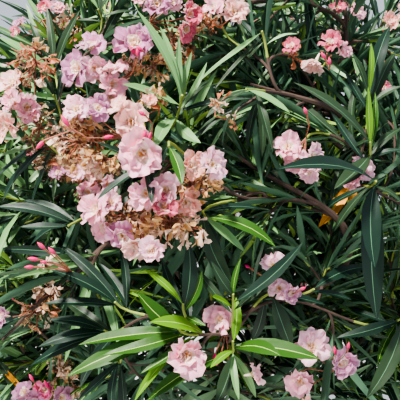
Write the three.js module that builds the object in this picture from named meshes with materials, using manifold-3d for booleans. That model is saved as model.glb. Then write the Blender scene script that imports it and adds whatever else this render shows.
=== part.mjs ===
// A potted oleander: an evergreen shrub of five stems, in bloom, in a plain clay pot.
// Millimetres, +Z up. The origin is the middle of the pot's flat underside.
// Stems fork into boughs, and each bough ends in one mass of leafy, flowering shoots.
import * as THREE from "three";
import { mergeVertices } from "three/addons/utils/BufferGeometryUtils.js";
import Module from "manifold-3d";

const wasm = await Module();
wasm.setup();

const { lerp, degToRad } = THREE.MathUtils;
const UP = new THREE.Vector3(0, 0, 1);
const TOUCHING_GAP = 0.3;

// Pot and soil
const POT_HEIGHT = 380;
const POT_FOOT_RADIUS = 150;
const POT_BODY_RADIUS = 204;
const POT_RIM_RADIUS = 222;
const POT_RIM_HEIGHT = 62;
const POT_WALL = 16;
const POT_FLOOR = 24;
const POT_EDGE = 5;
const POT_SIDES = 28;
const DRAIN_HOLES = 3;
const DRAIN_RADIUS = 9;
const DRAIN_CIRCLE_RADIUS = 75;
const DRAIN_SIDES = 10;
const SOIL_LEVEL = 345;
const SOIL_WALL_GAP = 0.36;

// Stems: each one's azimuth, how far it stands from the pot's middle line at the soil and
// at its fork, and the height of its fork
const STEMS = [
  { name: "stem_middle", azimuth: 80, atSoil: 4, atFork: 20, forkHeight: 820 },
  { name: "stem_1", azimuth: -140, atSoil: 58, atFork: 125, forkHeight: 690 },
  { name: "stem_2", azimuth: -52, atSoil: 58, atFork: 125, forkHeight: 728 },
  { name: "stem_3", azimuth: 40, atSoil: 58, atFork: 125, forkHeight: 690 },
  { name: "stem_4", azimuth: 133, atSoil: 58, atFork: 125, forkHeight: 728 },
];
const STEM_TWIST = 6;
const STEM_RADIUS_AT_SOIL = 14;
const STEM_RADIUS_AT_FORK = 9.5;
const ROOT_FLARE = 7;
const ROOT_FLARE_HEIGHT = 30;
const CUT_OFF_LENGTH = 12;

// Boughs: which stem carries each mass's bough, and the share of the stem's length at which
// it leaves. At a share of 1 it is the stem's leader.
const BOUGHS = [
  { stem: "stem_middle", share: 1, mass: "foliage_top" },
  { stem: "stem_1", share: 1, mass: "foliage_upper_1" },
  { stem: "stem_2", share: 1, mass: "foliage_upper_2" },
  { stem: "stem_3", share: 1, mass: "foliage_upper_3" },
  { stem: "stem_4", share: 1, mass: "foliage_upper_4" },
  { stem: "stem_1", share: 0.93, mass: "foliage_lower_1" },
  { stem: "stem_2", share: 0.84, mass: "foliage_lower_2" },
  { stem: "stem_2", share: 0.93, mass: "foliage_lower_3" },
  { stem: "stem_3", share: 0.84, mass: "foliage_lower_4" },
  { stem: "stem_3", share: 0.93, mass: "foliage_lower_5" },
  { stem: "stem_4", share: 0.93, mass: "foliage_lower_6" },
];
const BOUGH_RADIUS_AT_FORK = 8;
const BOUGH_RADIUS_AT_TIP = 5;
const BOUGH_UPTURN = 0.35;
const BOUGH_HEART_HEIGHT = 690;
const BOUGH_SHARE_OF_RISE = 0.62;
const BOUGH_SHARE_OF_WAY = 0.5;
const LIMB_SIDES = 7;
const LIMB_STEPS = 4;
const CURVE_PULL = 0.35;

// The reach of the shoots' tips from the middle of the foliage
const FOLIAGE_MIDDLE = new THREE.Vector3(0, 0, 1070);
const TIP_REACH_SIDE = 475;
const TIP_REACH_UP = 500;
const TIP_REACH_DOWN = 500;
const LOWEST_RISE = -0.8;
const SHALLOWEST_TIP = 0.8;
const SHOOT_COUNT = 118;
const LIFT_ABOVE = 0.65;
const LIFT_BELOW = 0.35;
// Steps of rise and of azimuth from one tip to the next, which never fall into a pattern
const RISE_STEP = 0.7548776662466927;
const AZIMUTH_STEP = 0.5698402909980532;

// The masses' middles: one at the top, a ring of four, and a ring of six below it
const TOP_MASS_HEIGHT = 1455;
const UPPER_MASSES = 4;
const UPPER_RING_RADIUS = 290;
const UPPER_RING_HEIGHT = 1265;
const UPPER_FIRST_AZIMUTH = -135;
const LOWER_MASSES = 6;
const LOWER_RING_RADIUS = 400;
const LOWER_RING_HEIGHT = 875;
const LOWER_FIRST_AZIMUTH = -150;
const AZIMUTH_SPREAD = 14;
const HEIGHT_STEP = 55;
const SPACE_MARGIN = 1;

// Twigs, leaves and flowers
const MASS_STEM_TIP_RADIUS = 4.2;
const MASS_STEM_SIDES = 5;
// A twig starts narrow, so that its end is hidden inside the one it grows from.
const TWIG_NECK_RADIUS = 1.6;
const TWIG_RADIUS = 3.4;
const TWIG_SIDES = 3;
const TWIG_STEPS = 2;
const MASS_STEM_SHARE = 0.5;
// The shares of their length at which the mass's stem and its twigs fork, each once.
const STEM_FORKS = [0.3, 0.42, 0.55, 0.67, 0.8, 0.9, 0.97];
const TWIG_FORKS = [0.24, 0.38, 0.52];
const LEAST_FORK_COSINE = 0.15;
const BENT_BACK_COST = 0.9;
const FORK_BEND = 0.6;
const LEAF_LENGTH = 194;
const LEAF_WIDTH_SHARE = 0.21;
const LEAF_THICKNESS_SHARE = 0.014;
const LEAF_WIDEST_SHARE = 0.4;
const LEAF_SINK = 1.3;
const LEAF_UPTURN = 0.8;
const LEAST_LEAF_ANGLE = 16;
const LOWEST_LEAF_SHARE = 0.1;
const ROOT_SHARE = 0.06;
// Each whorl: its distance below the shoot's top leaf, its leaves' angle from the shoot,
// their share of the full length, and how many of its three leaves are made.
const WHORLS = [
  { below: 6, angle: 20, share: 0.85, made: 1 },
  { below: 30, angle: 42, share: 1, made: 2 },
  { below: 66, angle: 56, share: 1, made: 2 },
  { below: 106, angle: 68, share: 1, made: 2 },
  { below: 150, angle: 76, share: 0.95, made: 2 },
];
// What is tried in turn until a leaf fits: turned this far round, or laid nearer the shoot.
const LEAF_TURNS = [0, 20, -20, 40, -40, 60];
const LEAF_CLOSINGS = [0, 15, 30, 45];
// Each flowering shoot ends in one cup, which stands for its truss of blossom.
const FLOWERING_SHARE = 0.6;
const FLOWER_STALK = 45;
const FLOWER_RADIUS = 36;
const FLOWER_DEPTH = 30;
const FLOWER_TILT = 16;

// Colours, roughness and metalness
const CLAY = { color: 0xb5683f, roughness: 0.85, metalness: 0 };
const SOIL = { color: 0x3b2b20, roughness: 1, metalness: 0 };
const BARK = { color: 0x6f5846, roughness: 0.85, metalness: 0 };
const FOLIAGE = { color: 0x35592c, roughness: 0.45, metalness: 0 };

// A repeatable stream of numbers from 0 to 1.
function stream(seed) {
  let state = Math.imul(seed + 1, 2654435761) >>> 0;
  return () => {
    state = (Math.imul(state, 1664525) + 1013904223) >>> 0;
    return state / 2 ** 32;
  };
}

function onCircle(radius, azimuth, height) {
  const turn = degToRad(azimuth);
  return new THREE.Vector3(radius * Math.cos(turn), radius * Math.sin(turn), height);
}

// Solids in and out of the library that joins and cuts them

function solidOf(geometry) {
  const bare = geometry.clone();
  bare.deleteAttribute("normal");
  bare.deleteAttribute("uv");
  const merged = mergeVertices(bare, 1e-4);
  return new wasm.Manifold(
    new wasm.Mesh({
      numProp: 3,
      vertProperties: new Float32Array(merged.attributes.position.array),
      triVerts: new Uint32Array(merged.index.array),
    }),
  );
}

function geometryOf(solid) {
  const mesh = solid.getMesh();
  const geometry = new THREE.BufferGeometry();
  geometry.setAttribute("position", new THREE.BufferAttribute(mesh.vertProperties, 3));
  geometry.setIndex(new THREE.BufferAttribute(mesh.triVerts, 1));
  geometry.computeVertexNormals();
  return geometry;
}

function meet(a, b) {
  return a.intersect(b).volume() > 1e-3;
}

function largestBody(solid) {
  const bodies = solid.decompose();
  return bodies.reduce((best, body) => (body.volume() > best.volume() ? body : best));
}

// Pot and soil

function lathe(points) {
  const profile = points.map(([radius, height]) => new THREE.Vector2(radius, height));
  return new THREE.LatheGeometry(profile, POT_SIDES).rotateX(Math.PI / 2);
}

// The radius of the pot's body at a height, before the wall is taken off.
function potRadiusAt(height) {
  const share = height / (POT_HEIGHT - POT_RIM_HEIGHT);
  return lerp(POT_FOOT_RADIUS, POT_BODY_RADIUS, share);
}

function potGeometry() {
  const rimFoot = POT_HEIGHT - POT_RIM_HEIGHT;
  const mouth = potRadiusAt(POT_HEIGHT) - POT_WALL;
  const body = solidOf(
    lathe([
      [0, 0],
      [POT_FOOT_RADIUS - POT_EDGE, 0],
      [potRadiusAt(POT_EDGE), POT_EDGE],
      [POT_BODY_RADIUS, rimFoot],
      [POT_RIM_RADIUS - POT_EDGE, rimFoot],
      [POT_RIM_RADIUS, rimFoot + POT_EDGE],
      [POT_RIM_RADIUS, POT_HEIGHT - POT_EDGE],
      [POT_RIM_RADIUS - POT_EDGE, POT_HEIGHT],
      [mouth, POT_HEIGHT],
      [potRadiusAt(POT_FLOOR) - POT_WALL, POT_FLOOR],
      [0, POT_FLOOR],
    ]),
  );
  const drains = Array.from({ length: DRAIN_HOLES }, (_, i) => {
    const drain = new THREE.CylinderGeometry(DRAIN_RADIUS, DRAIN_RADIUS, 3 * POT_FLOOR, DRAIN_SIDES);
    const place = onCircle(DRAIN_CIRCLE_RADIUS, (360 / DRAIN_HOLES) * i, 0);
    return solidOf(drain.rotateX(Math.PI / 2).translate(place.x, place.y, place.z));
  });
  return geometryOf(body.subtract(wasm.Manifold.union(drains)));
}

function soilGeometry() {
  const radiusAt = (height) => potRadiusAt(height) - POT_WALL - SOIL_WALL_GAP;
  const foot = POT_FLOOR + TOUCHING_GAP;
  return lathe([
    [0, foot],
    [radiusAt(foot), foot],
    [radiusAt(SOIL_LEVEL), SOIL_LEVEL],
    [0, SOIL_LEVEL],
  ]);
}

// Limbs

// A closed tube along a curve. Its radius is given by the share of its length, and
// it may be made larger all round, which gives the space that others keep clear of.
function tubeGeometry(curve, radiusAt, sides, steps, larger = 0) {
  const tube = new THREE.CylinderGeometry(1, 1, 1, sides, steps);
  const frames = curve.computeFrenetFrames(steps, false);
  const place = tube.attributes.position;
  for (let i = 0; i < place.count; i++) {
    const step = Math.round((place.getY(i) + 0.5) * steps);
    const tangent = frames.tangents[step];
    const side = frames.normals[step];
    const radius = radiusAt(step / steps) + larger;
    const point = curve
      .getPointAt(step / steps)
      .addScaledVector(side, place.getX(i) * radius)
      .addScaledVector(side.clone().cross(tangent), place.getZ(i) * radius);
    if (step === 0) point.addScaledVector(tangent, -larger);
    if (step === steps) point.addScaledVector(tangent, larger);
    place.setXYZ(i, point.x, point.y, point.z);
  }
  return tube;
}

// A point on the middle line of a tube, which runs straight from one step to the next.
function onTube(curve, steps, share) {
  const before = Math.min(Math.floor(share * steps), steps - 1);
  const from = curve.getPointAt(before / steps);
  return from.lerp(curve.getPointAt((before + 1) / steps), share * steps - before);
}

function curveBetween(start, startWay, end, endWay) {
  const length = start.distanceTo(end);
  return new THREE.CubicBezierCurve3(
    start,
    start.clone().addScaledVector(startWay, CURVE_PULL * length),
    end.clone().addScaledVector(endWay, -CURVE_PULL * length),
    end,
  );
}

function limb(name, curve, radiusAt) {
  return {
    name,
    curve,
    solid: solidOf(tubeGeometry(curve, radiusAt, LIMB_SIDES, LIMB_STEPS)),
    space: solidOf(tubeGeometry(curve, radiusAt, LIMB_SIDES, LIMB_STEPS, TOUCHING_GAP)),
  };
}

// A stem from below the soil's level to its fork. The part under the soil is cut off flat.
function growStem({ name, azimuth, atSoil, atFork, forkHeight }) {
  const foot = onCircle(atSoil, azimuth, SOIL_LEVEL - CUT_OFF_LENGTH);
  const fork = onCircle(atFork, azimuth + STEM_TWIST, forkHeight);
  const lean = onCircle(atFork - atSoil, azimuth, forkHeight).normalize();
  const curve = curveBetween(foot, lean, fork, lean);
  const length = curve.getLength();
  const radiusAt = (share) => {
    const flare = ROOT_FLARE * Math.exp((CUT_OFF_LENGTH - share * length) / ROOT_FLARE_HEIGHT);
    return lerp(STEM_RADIUS_AT_SOIL, STEM_RADIUS_AT_FORK, share) + Math.min(flare, ROOT_FLARE);
  };
  const stem = limb(name, curve, radiusAt);
  stem.solid = stem.solid.trimByPlane([0, 0, 1], SOIL_LEVEL + TOUCHING_GAP);
  return stem;
}

// A bough from its stem to the edge of its mass. The leader goes on from the stem's tip,
// and a side bough starts on the stem's middle line and is cut clear of the limbs there.
function growBough({ stem, share, mass }, limbs) {
  const carrier = named(limbs, stem);
  const start = carrier.curve.getPointAt(share);
  const way = carrier.curve.getTangentAt(share);
  if (share === 1) start.addScaledVector(way, TOUCHING_GAP);
  const goal = named(MASSES, mass);
  const end = new THREE.Vector3(0, 0, lerp(BOUGH_HEART_HEIGHT, goal.middle.z, BOUGH_SHARE_OF_RISE));
  end.lerp(goal.middle, BOUGH_SHARE_OF_WAY);
  const aim = end.clone().sub(start).normalize();
  const startWay = share === 1 ? way : aim.clone().add(way).normalize();
  const endWay = aim.clone().addScaledVector(UP, BOUGH_UPTURN).normalize();
  const radiusAt = (t) => lerp(BOUGH_RADIUS_AT_FORK, BOUGH_RADIUS_AT_TIP, t);
  const bough = limb(mass.replace("foliage", "bough"), curveBetween(start, startWay, end, endWay), radiusAt);
  if (share < 1) bough.solid = largestBody(bough.solid.subtract(spaceOf(limbs)));
  return { ...bough, mass: goal };
}

function named(things, name) {
  return things.find((thing) => thing.name === name);
}

function spaceOf(limbs) {
  return wasm.Manifold.union(limbs.map(({ space }) => space));
}

// Masses of foliage

function massRing(kind, count, firstAzimuth, radius, height) {
  return Array.from({ length: count }, (_, i) => {
    const random = stream(1000 * radius + i);
    const azimuth = firstAzimuth + (360 / count) * i + AZIMUTH_SPREAD * (random() - 0.5);
    const middle = onCircle(radius, azimuth, height + (i % 2 ? HEIGHT_STEP : -HEIGHT_STEP));
    return { name: `foliage_${kind}_${i + 1}`, middle };
  });
}

const MASSES = [
  { name: "foliage_top", middle: new THREE.Vector3(0, 0, TOP_MASS_HEIGHT) },
  ...massRing("upper", UPPER_MASSES, UPPER_FIRST_AZIMUTH, UPPER_RING_RADIUS, UPPER_RING_HEIGHT),
  ...massRing("lower", LOWER_MASSES, LOWER_FIRST_AZIMUTH, LOWER_RING_RADIUS, LOWER_RING_HEIGHT),
];

function nearestMass(point) {
  return MASSES.reduce((best, mass) =>
    mass.middle.distanceTo(point) < best.middle.distanceTo(point) ? mass : best,
  );
}

// Whether a point lies in the mass's own space: nearer to its middle than to any other.
function inSpace(mass, point) {
  return MASSES.every((other) => {
    if (other === mass) return true;
    const way = other.middle.clone().sub(mass.middle);
    const half = way.length() / 2;
    return point.clone().sub(mass.middle).dot(way.normalize()) < half - SPACE_MARGIN;
  });
}

function reachAlong(way) {
  const upright = way.z > 0 ? TIP_REACH_UP : TIP_REACH_DOWN;
  return 1 / Math.hypot(Math.hypot(way.x, way.y) / TIP_REACH_SIDE, way.z / upright);
}

// A shoot's tip and the way it points there. The tips are spread evenly over the outside.
function shootTip(index) {
  const random = stream(index);
  const rise = lerp(LOWEST_RISE, 1, (0.5 + index * RISE_STEP) % 1);
  const azimuth = 360 * ((0.5 + index * AZIMUTH_STEP) % 1);
  const outward = onCircle(Math.sqrt(1 - rise * rise), azimuth, rise);
  const depth = lerp(SHALLOWEST_TIP, 1, random());
  const tip = FOLIAGE_MIDDLE.clone().addScaledVector(outward, reachAlong(outward) * depth);
  const lift = rise < 0 ? LIFT_BELOW : LIFT_ABOVE;
  const way = outward.clone().addScaledVector(UP, lift).normalize();
  return { tip, way, turn: 360 * random(), flowers: random() < FLOWERING_SHARE };
}

const SHOOTS = Array.from({ length: SHOOT_COUNT }, (_, index) => shootTip(index));

// The free fork from which a shoot grows: near its tip, and not bent far back from it.
function forkFor(forks, tip) {
  let best = null;
  for (const fork of forks) {
    const aim = tip.clone().sub(fork.point);
    const cosine = aim.dot(fork.tangent) / aim.length();
    const cost = aim.length() * (1 + BENT_BACK_COST * (1 - cosine));
    if (cosine > LEAST_FORK_COSINE && (!best || cost < best.cost)) best = { fork, cost };
  }
  return best?.fork;
}

function forksOf(curve, shares) {
  return shares.map((share) => ({
    point: onTube(curve, TWIG_STEPS, share),
    tangent: curve.getTangentAt(share),
  }));
}

// A twig's curve, straightened as far as it takes to stay in the mass's space.
function twigCurve(mass, fork, tip, way) {
  const chord = tip.clone().sub(fork.point).normalize();
  for (const bend of [1, 0.5, 0]) {
    const startWay = chord.clone().lerp(fork.tangent, FORK_BEND * bend).normalize();
    const endWay = chord.clone().lerp(way, bend).normalize();
    const curve = curveBetween(fork.point, startWay, tip, endWay);
    if (bend === 0 || (inSpace(mass, curve.v1) && inSpace(mass, curve.v2))) return curve;
  }
}

// A closed shape from its corners and its faces, three corners to a face.
function facetedGeometry(corners, faces) {
  const points = corners.map((corner) => new THREE.Vector3(...corner));
  return new THREE.BufferGeometry().setFromPoints(points).setIndex(faces.flat());
}

// A leaf along +X with its upper face to +Z: a pointed blade, widest and bent before its
// middle, with the midrib as a keel below. It has 4 faces.
function leafGeometry(length) {
  const half = (LEAF_WIDTH_SHARE * length) / 2;
  const widest = LEAF_WIDEST_SHARE * length;
  const depth = LEAF_THICKNESS_SHARE * length;
  const corners = [
    [-LEAF_SINK, 0, 0],
    [length, 0, 0],
    [widest, half, depth],
    [widest, -half, depth],
  ];
  const faces = [
    [0, 3, 2],
    [1, 2, 3],
    [0, 2, 1],
    [0, 1, 3],
  ];
  return facetedGeometry(corners, faces);
}

// A flower along +Z: a five-cornered cup whose pointed foot is at the origin.
function flowerGeometry() {
  const petals = 5;
  const rim = Array.from({ length: petals }, (_, i) => {
    return onCircle(FLOWER_RADIUS, (360 / petals) * i, FLOWER_DEPTH).toArray();
  });
  const faces = rim.flatMap((_, i) => {
    const [here, next] = [2 + i, 2 + ((i + 1) % petals)];
    return [[0, next, here], [1, here, next]];
  });
  return facetedGeometry([[0, 0, 0], [0, 0, 0.5 * FLOWER_DEPTH], ...rim], faces);
}

// The matrix that puts a piece at a place with its X along one way and its Z near another.
function placed(place, along, upward) {
  const across = upward.clone().cross(along).normalize();
  const normal = along.clone().cross(across);
  return new THREE.Matrix4().makeBasis(along, across, normal).setPosition(place);
}

// A way that leaves a twig at an angle from its tangent, turned round it.
function aside(tangent, angle, turn) {
  const side = new THREE.Vector3(tangent.y, -tangent.x, 0).normalize();
  side.applyAxisAngle(tangent, degToRad(turn));
  const [cosine, sine] = [Math.cos(degToRad(angle)), Math.sin(degToRad(angle))];
  return tangent.clone().multiplyScalar(cosine).addScaledVector(side, sine);
}

// The places of a shoot's leaves. Each has the leaves that are tried there in turn.
function leafPlaces(shoot, curve) {
  const length = curve.getLength();
  const top = shoot.flowers ? FLOWER_STALK : 0;
  return WHORLS.flatMap((whorl, k) => {
    const share = 1 - (top + whorl.below) / length;
    if (share < LOWEST_LEAF_SHARE) return [];
    const root = onTube(curve, TWIG_STEPS, share);
    const tangent = curve.getTangentAt(share);
    const upward = tangent.clone().addScaledVector(UP, LEAF_UPTURN);
    return Array.from({ length: whorl.made }, (_, j) => {
      const turn = shoot.turn + 60 * k + 120 * j;
      return LEAF_CLOSINGS.flatMap((closing) =>
        LEAF_TURNS.map((more) => () => {
          const angle = Math.max(whorl.angle - closing, LEAST_LEAF_ANGLE);
          const way = aside(tangent, angle, turn + more);
          return leafGeometry(LEAF_LENGTH * whorl.share).applyMatrix4(placed(root, way, upward));
        }),
      );
    });
  });
}

function flowerOn(shoot, curve) {
  const tangent = curve.getTangentAt(1);
  const point = curve.getPointAt(1).addScaledVector(tangent, -1.2 * TWIG_RADIUS);
  const towards = new THREE.Quaternion();
  towards.setFromUnitVectors(UP, aside(tangent, FLOWER_TILT, shoot.turn));
  return flowerGeometry().applyQuaternion(towards).translate(point.x, point.y, point.z);
}

function staysInSpace(mass, geometry) {
  const place = geometry.attributes.position;
  const point = new THREE.Vector3();
  for (let i = 0; i < place.count; i++) {
    if (!inSpace(mass, point.fromBufferAttribute(place, i))) return false;
  }
  return true;
}

// One mass: its stem goes on from the bough's tip, shoots fork from it and from each other,
// and flowers and leaves are fused on. Whatever would leave the space, touch a limb or, if
// it is a leaf, cross what is there already, is skipped.
function growMass(mass, bough, limbSpace) {
  const start = bough.curve.getPointAt(1);
  const startWay = bough.curve.getTangentAt(1);
  start.addScaledVector(startWay, TOUCHING_GAP);
  const hub = start.clone().lerp(mass.middle, MASS_STEM_SHARE);
  const stemCurve = curveBetween(start, startWay, hub, startWay);
  const stemRadiusAt = (t) => lerp(BOUGH_RADIUS_AT_TIP, MASS_STEM_TIP_RADIUS, t);
  const forks = forksOf(stemCurve, STEM_FORKS);
  let grown = solidOf(tubeGeometry(stemCurve, stemRadiusAt, MASS_STEM_SIDES, TWIG_STEPS));
  const fits = (geometry, solid) => staysInSpace(mass, geometry) && !meet(solid, limbSpace);

  const shoots = SHOOTS.filter((shoot) => nearestMass(shoot.tip) === mass);
  const made = [];
  for (const shoot of shoots) {
    const fork = forkFor(forks, shoot.tip);
    if (!fork || !inSpace(mass, shoot.tip)) continue;
    const curve = twigCurve(mass, fork, shoot.tip, shoot.way);
    const radiusAt = (t) => (t === 0 ? TWIG_NECK_RADIUS : TWIG_RADIUS);
    const twig = tubeGeometry(curve, radiusAt, TWIG_SIDES, TWIG_STEPS);
    const solid = solidOf(twig);
    if (!fits(twig, solid)) continue;
    forks.splice(forks.indexOf(fork), 1, ...forksOf(curve, TWIG_FORKS));
    grown = grown.add(solid);
    made.push({ shoot, curve });
  }
  for (const { shoot, curve } of made) {
    if (!shoot.flowers) continue;
    const flower = flowerOn(shoot, curve);
    const solid = solidOf(flower);
    if (fits(flower, solid)) grown = grown.add(solid);
  }
  for (const { shoot, curve } of made) {
    for (const tries of leafPlaces(shoot, curve)) {
      for (const makeLeaf of tries) {
        const leaf = makeLeaf();
        if (!staysInSpace(mass, leaf)) continue;
        const solid = solidOf(leaf);
        const blade = solid.intersect(solid.translate(leafStep(leaf)));
        if (meet(solid, limbSpace) || meet(blade, grown)) continue;
        grown = grown.add(solid);
        break;
      }
    }
  }
  return largestBody(grown);
}

// A short way from a leaf's root towards its tip, which frees a copy of it from its twig.
function leafStep(leaf) {
  const place = leaf.attributes.position;
  const root = new THREE.Vector3().fromBufferAttribute(place, 0);
  const tip = new THREE.Vector3().fromBufferAttribute(place, 1);
  return tip.sub(root).multiplyScalar(ROOT_SHARE).toArray();
}

// The whole plant

const plant = new THREE.Group();

function addPiece(name, geometry, look) {
  const piece = new THREE.Mesh(geometry, new THREE.MeshStandardMaterial(look));
  piece.name = name;
  plant.add(piece);
}

addPiece("pot", potGeometry(), CLAY);
addPiece("soil", soilGeometry(), SOIL);

// The leaders are made first, and each later bough is cut clear of what is there already.
const limbs = STEMS.map(growStem);
for (const bough of BOUGHS) limbs.push(growBough(bough, limbs));
for (const { name, solid } of limbs) addPiece(name, geometryOf(solid), BARK);

const limbSpace = spaceOf(limbs);
for (const bough of limbs.filter(({ mass }) => mass)) {
  addPiece(bough.mass.name, geometryOf(growMass(bough.mass, bough, limbSpace)), FOLIAGE);
}

export default plant;
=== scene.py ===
import math

import bmesh
import bpy
import numpy as np
from mathutils import Matrix, Vector, noise


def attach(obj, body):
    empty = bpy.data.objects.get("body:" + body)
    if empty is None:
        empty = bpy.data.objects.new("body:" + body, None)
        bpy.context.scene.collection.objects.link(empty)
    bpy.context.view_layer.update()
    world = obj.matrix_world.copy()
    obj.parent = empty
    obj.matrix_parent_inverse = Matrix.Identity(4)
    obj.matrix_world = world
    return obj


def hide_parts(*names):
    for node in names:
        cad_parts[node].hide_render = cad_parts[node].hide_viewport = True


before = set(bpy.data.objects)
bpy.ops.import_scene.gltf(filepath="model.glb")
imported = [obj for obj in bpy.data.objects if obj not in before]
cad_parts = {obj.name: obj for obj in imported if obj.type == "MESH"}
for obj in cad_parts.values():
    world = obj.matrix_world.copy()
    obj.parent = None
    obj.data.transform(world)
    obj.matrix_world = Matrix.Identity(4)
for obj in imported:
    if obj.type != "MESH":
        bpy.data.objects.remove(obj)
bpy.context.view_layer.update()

# Camera
# It stands beside the plant and looks slightly down on its flank, from about 0.65 m, so that a
# bloom of 48 mm is about 40 pixels wide. Shoots that the photograph shows are placed by pixel.
PHOTO_PIXELS = 400
FIELD_OF_VIEW = 40
LOOK_DOWN = 9
EYE = np.array([-0.02, -1.11, 1.245])
NEAREST_DEPTH = 0.01

camera_data = bpy.data.cameras.new("camera")
camera_data.angle = math.radians(FIELD_OF_VIEW)
camera = bpy.data.objects.new("camera", camera_data)
camera.location = EYE
camera.rotation_euler = (math.radians(90 - LOOK_DOWN), 0, 0)
bpy.context.scene.collection.objects.link(camera)
bpy.context.scene.camera = camera

RIGHT = np.array([1, 0, 0])
FORWARD = np.array([0, math.cos(math.radians(LOOK_DOWN)), -math.sin(math.radians(LOOK_DOWN))])
UPWARD = np.array([0, math.sin(math.radians(LOOK_DOWN)), math.cos(math.radians(LOOK_DOWN))])
PIXELS_PER_SLOPE = PHOTO_PIXELS / 2 / math.tan(math.radians(FIELD_OF_VIEW / 2))


def ray_through(pixel):
    """The way from the eye through a pixel, one unit long along the line of sight."""
    across = (pixel[0] - PHOTO_PIXELS / 2) / PIXELS_PER_SLOPE
    rise = (PHOTO_PIXELS / 2 - pixel[1]) / PIXELS_PER_SLOPE
    return FORWARD + across * RIGHT + rise * UPWARD


def at_pixel(pixel, depth):
    """The point that shows at a pixel, this far in front of the eye."""
    return EYE + depth * ray_through(pixel)


def pixels_of(points):
    """Where points show: their pixels, and how far in front of the eye they are."""
    away = np.atleast_2d(points) - EYE
    depth = np.maximum(away @ FORWARD, NEAREST_DEPTH)
    across = PHOTO_PIXELS / 2 + PIXELS_PER_SLOPE * (away @ RIGHT) / depth
    down = PHOTO_PIXELS / 2 - PIXELS_PER_SLOPE * (away @ UPWARD) / depth
    return np.stack([across, down], axis=1), depth


# Pot
# A plain clay flowerpot with a thick rim, thrown on a wheel and fired unglazed.
# It stands flat on its foot, and water leaves by three holes in its floor.
POT_HEIGHT = 0.380
POT_FOOT_RADIUS = 0.150
POT_BODY_RADIUS = 0.204
POT_RIM_RADIUS = 0.222
POT_RIM_HEIGHT = 0.062
POT_WALL = 0.016
POT_FLOOR = 0.024
POT_EDGE = 0.005
POT_SEGMENTS = 96
EDGE_STEPS = 4
DRAIN_HOLES = 3
DRAIN_RADIUS = 0.009
DRAIN_CIRCLE_RADIUS = 0.075
DRAIN_SEGMENTS = 24
POT_SHARP_ANGLE = 40
MERGE_DISTANCE = 1e-5


def linear(colour):
    """A hex sRGB colour as the linear values that a shader takes."""
    shares = [int(colour[place : place + 2], 16) / 255 for place in (1, 3, 5)]
    return [s / 12.92 if s <= 0.04045 else ((s + 0.055) / 1.055) ** 2.4 for s in shares] + [1]


def new_material(name, colour, roughness, ior):
    """A material of one colour. What varies over it is linked to its shader afterwards."""
    material = bpy.data.materials.new(name)
    material.use_nodes = True
    shader = material.node_tree.nodes["Principled BSDF"]
    shader.inputs["Base Color"].default_value = linear(colour)
    shader.inputs["Roughness"].default_value = roughness
    shader.inputs["IOR"].default_value = ior
    return material, shader


def add_node(material, kind, settings, links):
    """A node with its settings, which are inputs, properties or a ramp's stops, and its links."""
    node = material.node_tree.nodes.new(kind)
    for key, value in settings.items():
        if key == "stops":
            stops = node.color_ramp.elements
            while len(stops) < len(value):
                stops.new(1)
            for stop, (place, colour) in zip(stops, value):
                stop.position = place
                stop.color = linear(colour)
        elif isinstance(key, int) or key in node.inputs:
            node.inputs[key].default_value = value
        else:
            setattr(node, key, value)
    for key, socket in links.items():
        material.node_tree.links.new(socket, node.inputs[key])
    return node


def drive(material, shader, name, socket):
    """Lets a node's socket give one of the shader's values."""
    material.node_tree.links.new(socket, shader.inputs[name])


def new_piece(name, mesh, materials, nodes):
    """Puts a finished mesh in the scene, in place of the model's nodes that it stands for."""
    for material in materials:
        mesh.materials.append(material)
    piece = bpy.data.objects.new(name, mesh)
    bpy.context.scene.collection.objects.link(piece)
    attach(piece, "root")
    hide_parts(*nodes)
    return piece


def pot_radius_at(height):
    share = height / (POT_HEIGHT - POT_RIM_HEIGHT)
    return POT_FOOT_RADIUS + (POT_BODY_RADIUS - POT_FOOT_RADIUS) * share


def rounded(profile, radius, steps):
    """A profile with an arc in place of each corner between its two ends."""
    points = [Vector(point) for point in profile]
    smooth = [points[0]]
    for before, corner, after in zip(points, points[1:], points[2:]):
        reach = min(radius, (before - corner).length / 2, (after - corner).length / 2)
        start = corner + (before - corner).normalized() * reach
        end = corner + (after - corner).normalized() * reach
        for step in range(steps + 1):
            t = step / steps
            smooth.append(start * (1 - t) ** 2 + corner * 2 * t * (1 - t) + end * t**2)
    return smooth + [points[-1]]


def turned(profile, segments):
    """A closed bmesh turned round Z from a profile of radius and height that ends on the axis."""
    bm = bmesh.new()
    verts = [bm.verts.new((point[0], 0, point[1])) for point in profile]
    edges = [bm.edges.new(pair) for pair in zip(verts, verts[1:])]
    bmesh.ops.spin(bm, geom=verts + edges, axis=(0, 0, 1), cent=(0, 0, 0), angle=math.tau,
                   steps=segments, use_merge=True)
    bmesh.ops.remove_doubles(bm, verts=bm.verts, dist=MERGE_DISTANCE)
    bmesh.ops.recalc_face_normals(bm, faces=bm.faces)
    return bm


def mesh_of(bm, name, sharp_angle):
    """The mesh of a bmesh, smooth except across edges that turn further than this."""
    mesh = bpy.data.meshes.new(name)
    bm.to_mesh(mesh)
    bm.free()
    mesh.shade_smooth()
    mesh.set_sharp_from_angle(angle=math.radians(sharp_angle))
    return mesh


rim_foot = POT_HEIGHT - POT_RIM_HEIGHT
pot_profile = rounded(
    [
        (0, 0),
        (POT_FOOT_RADIUS, 0),
        (POT_BODY_RADIUS, rim_foot),
        (POT_RIM_RADIUS, rim_foot),
        (POT_RIM_RADIUS, POT_HEIGHT),
        (pot_radius_at(POT_HEIGHT) - POT_WALL, POT_HEIGHT),
        (pot_radius_at(POT_FLOOR) - POT_WALL, POT_FLOOR),
        (0, POT_FLOOR),
    ],
    POT_EDGE,
    EDGE_STEPS,
)
pot_mesh = mesh_of(turned(pot_profile, POT_SEGMENTS), "pot_clay", POT_SHARP_ANGLE)

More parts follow.
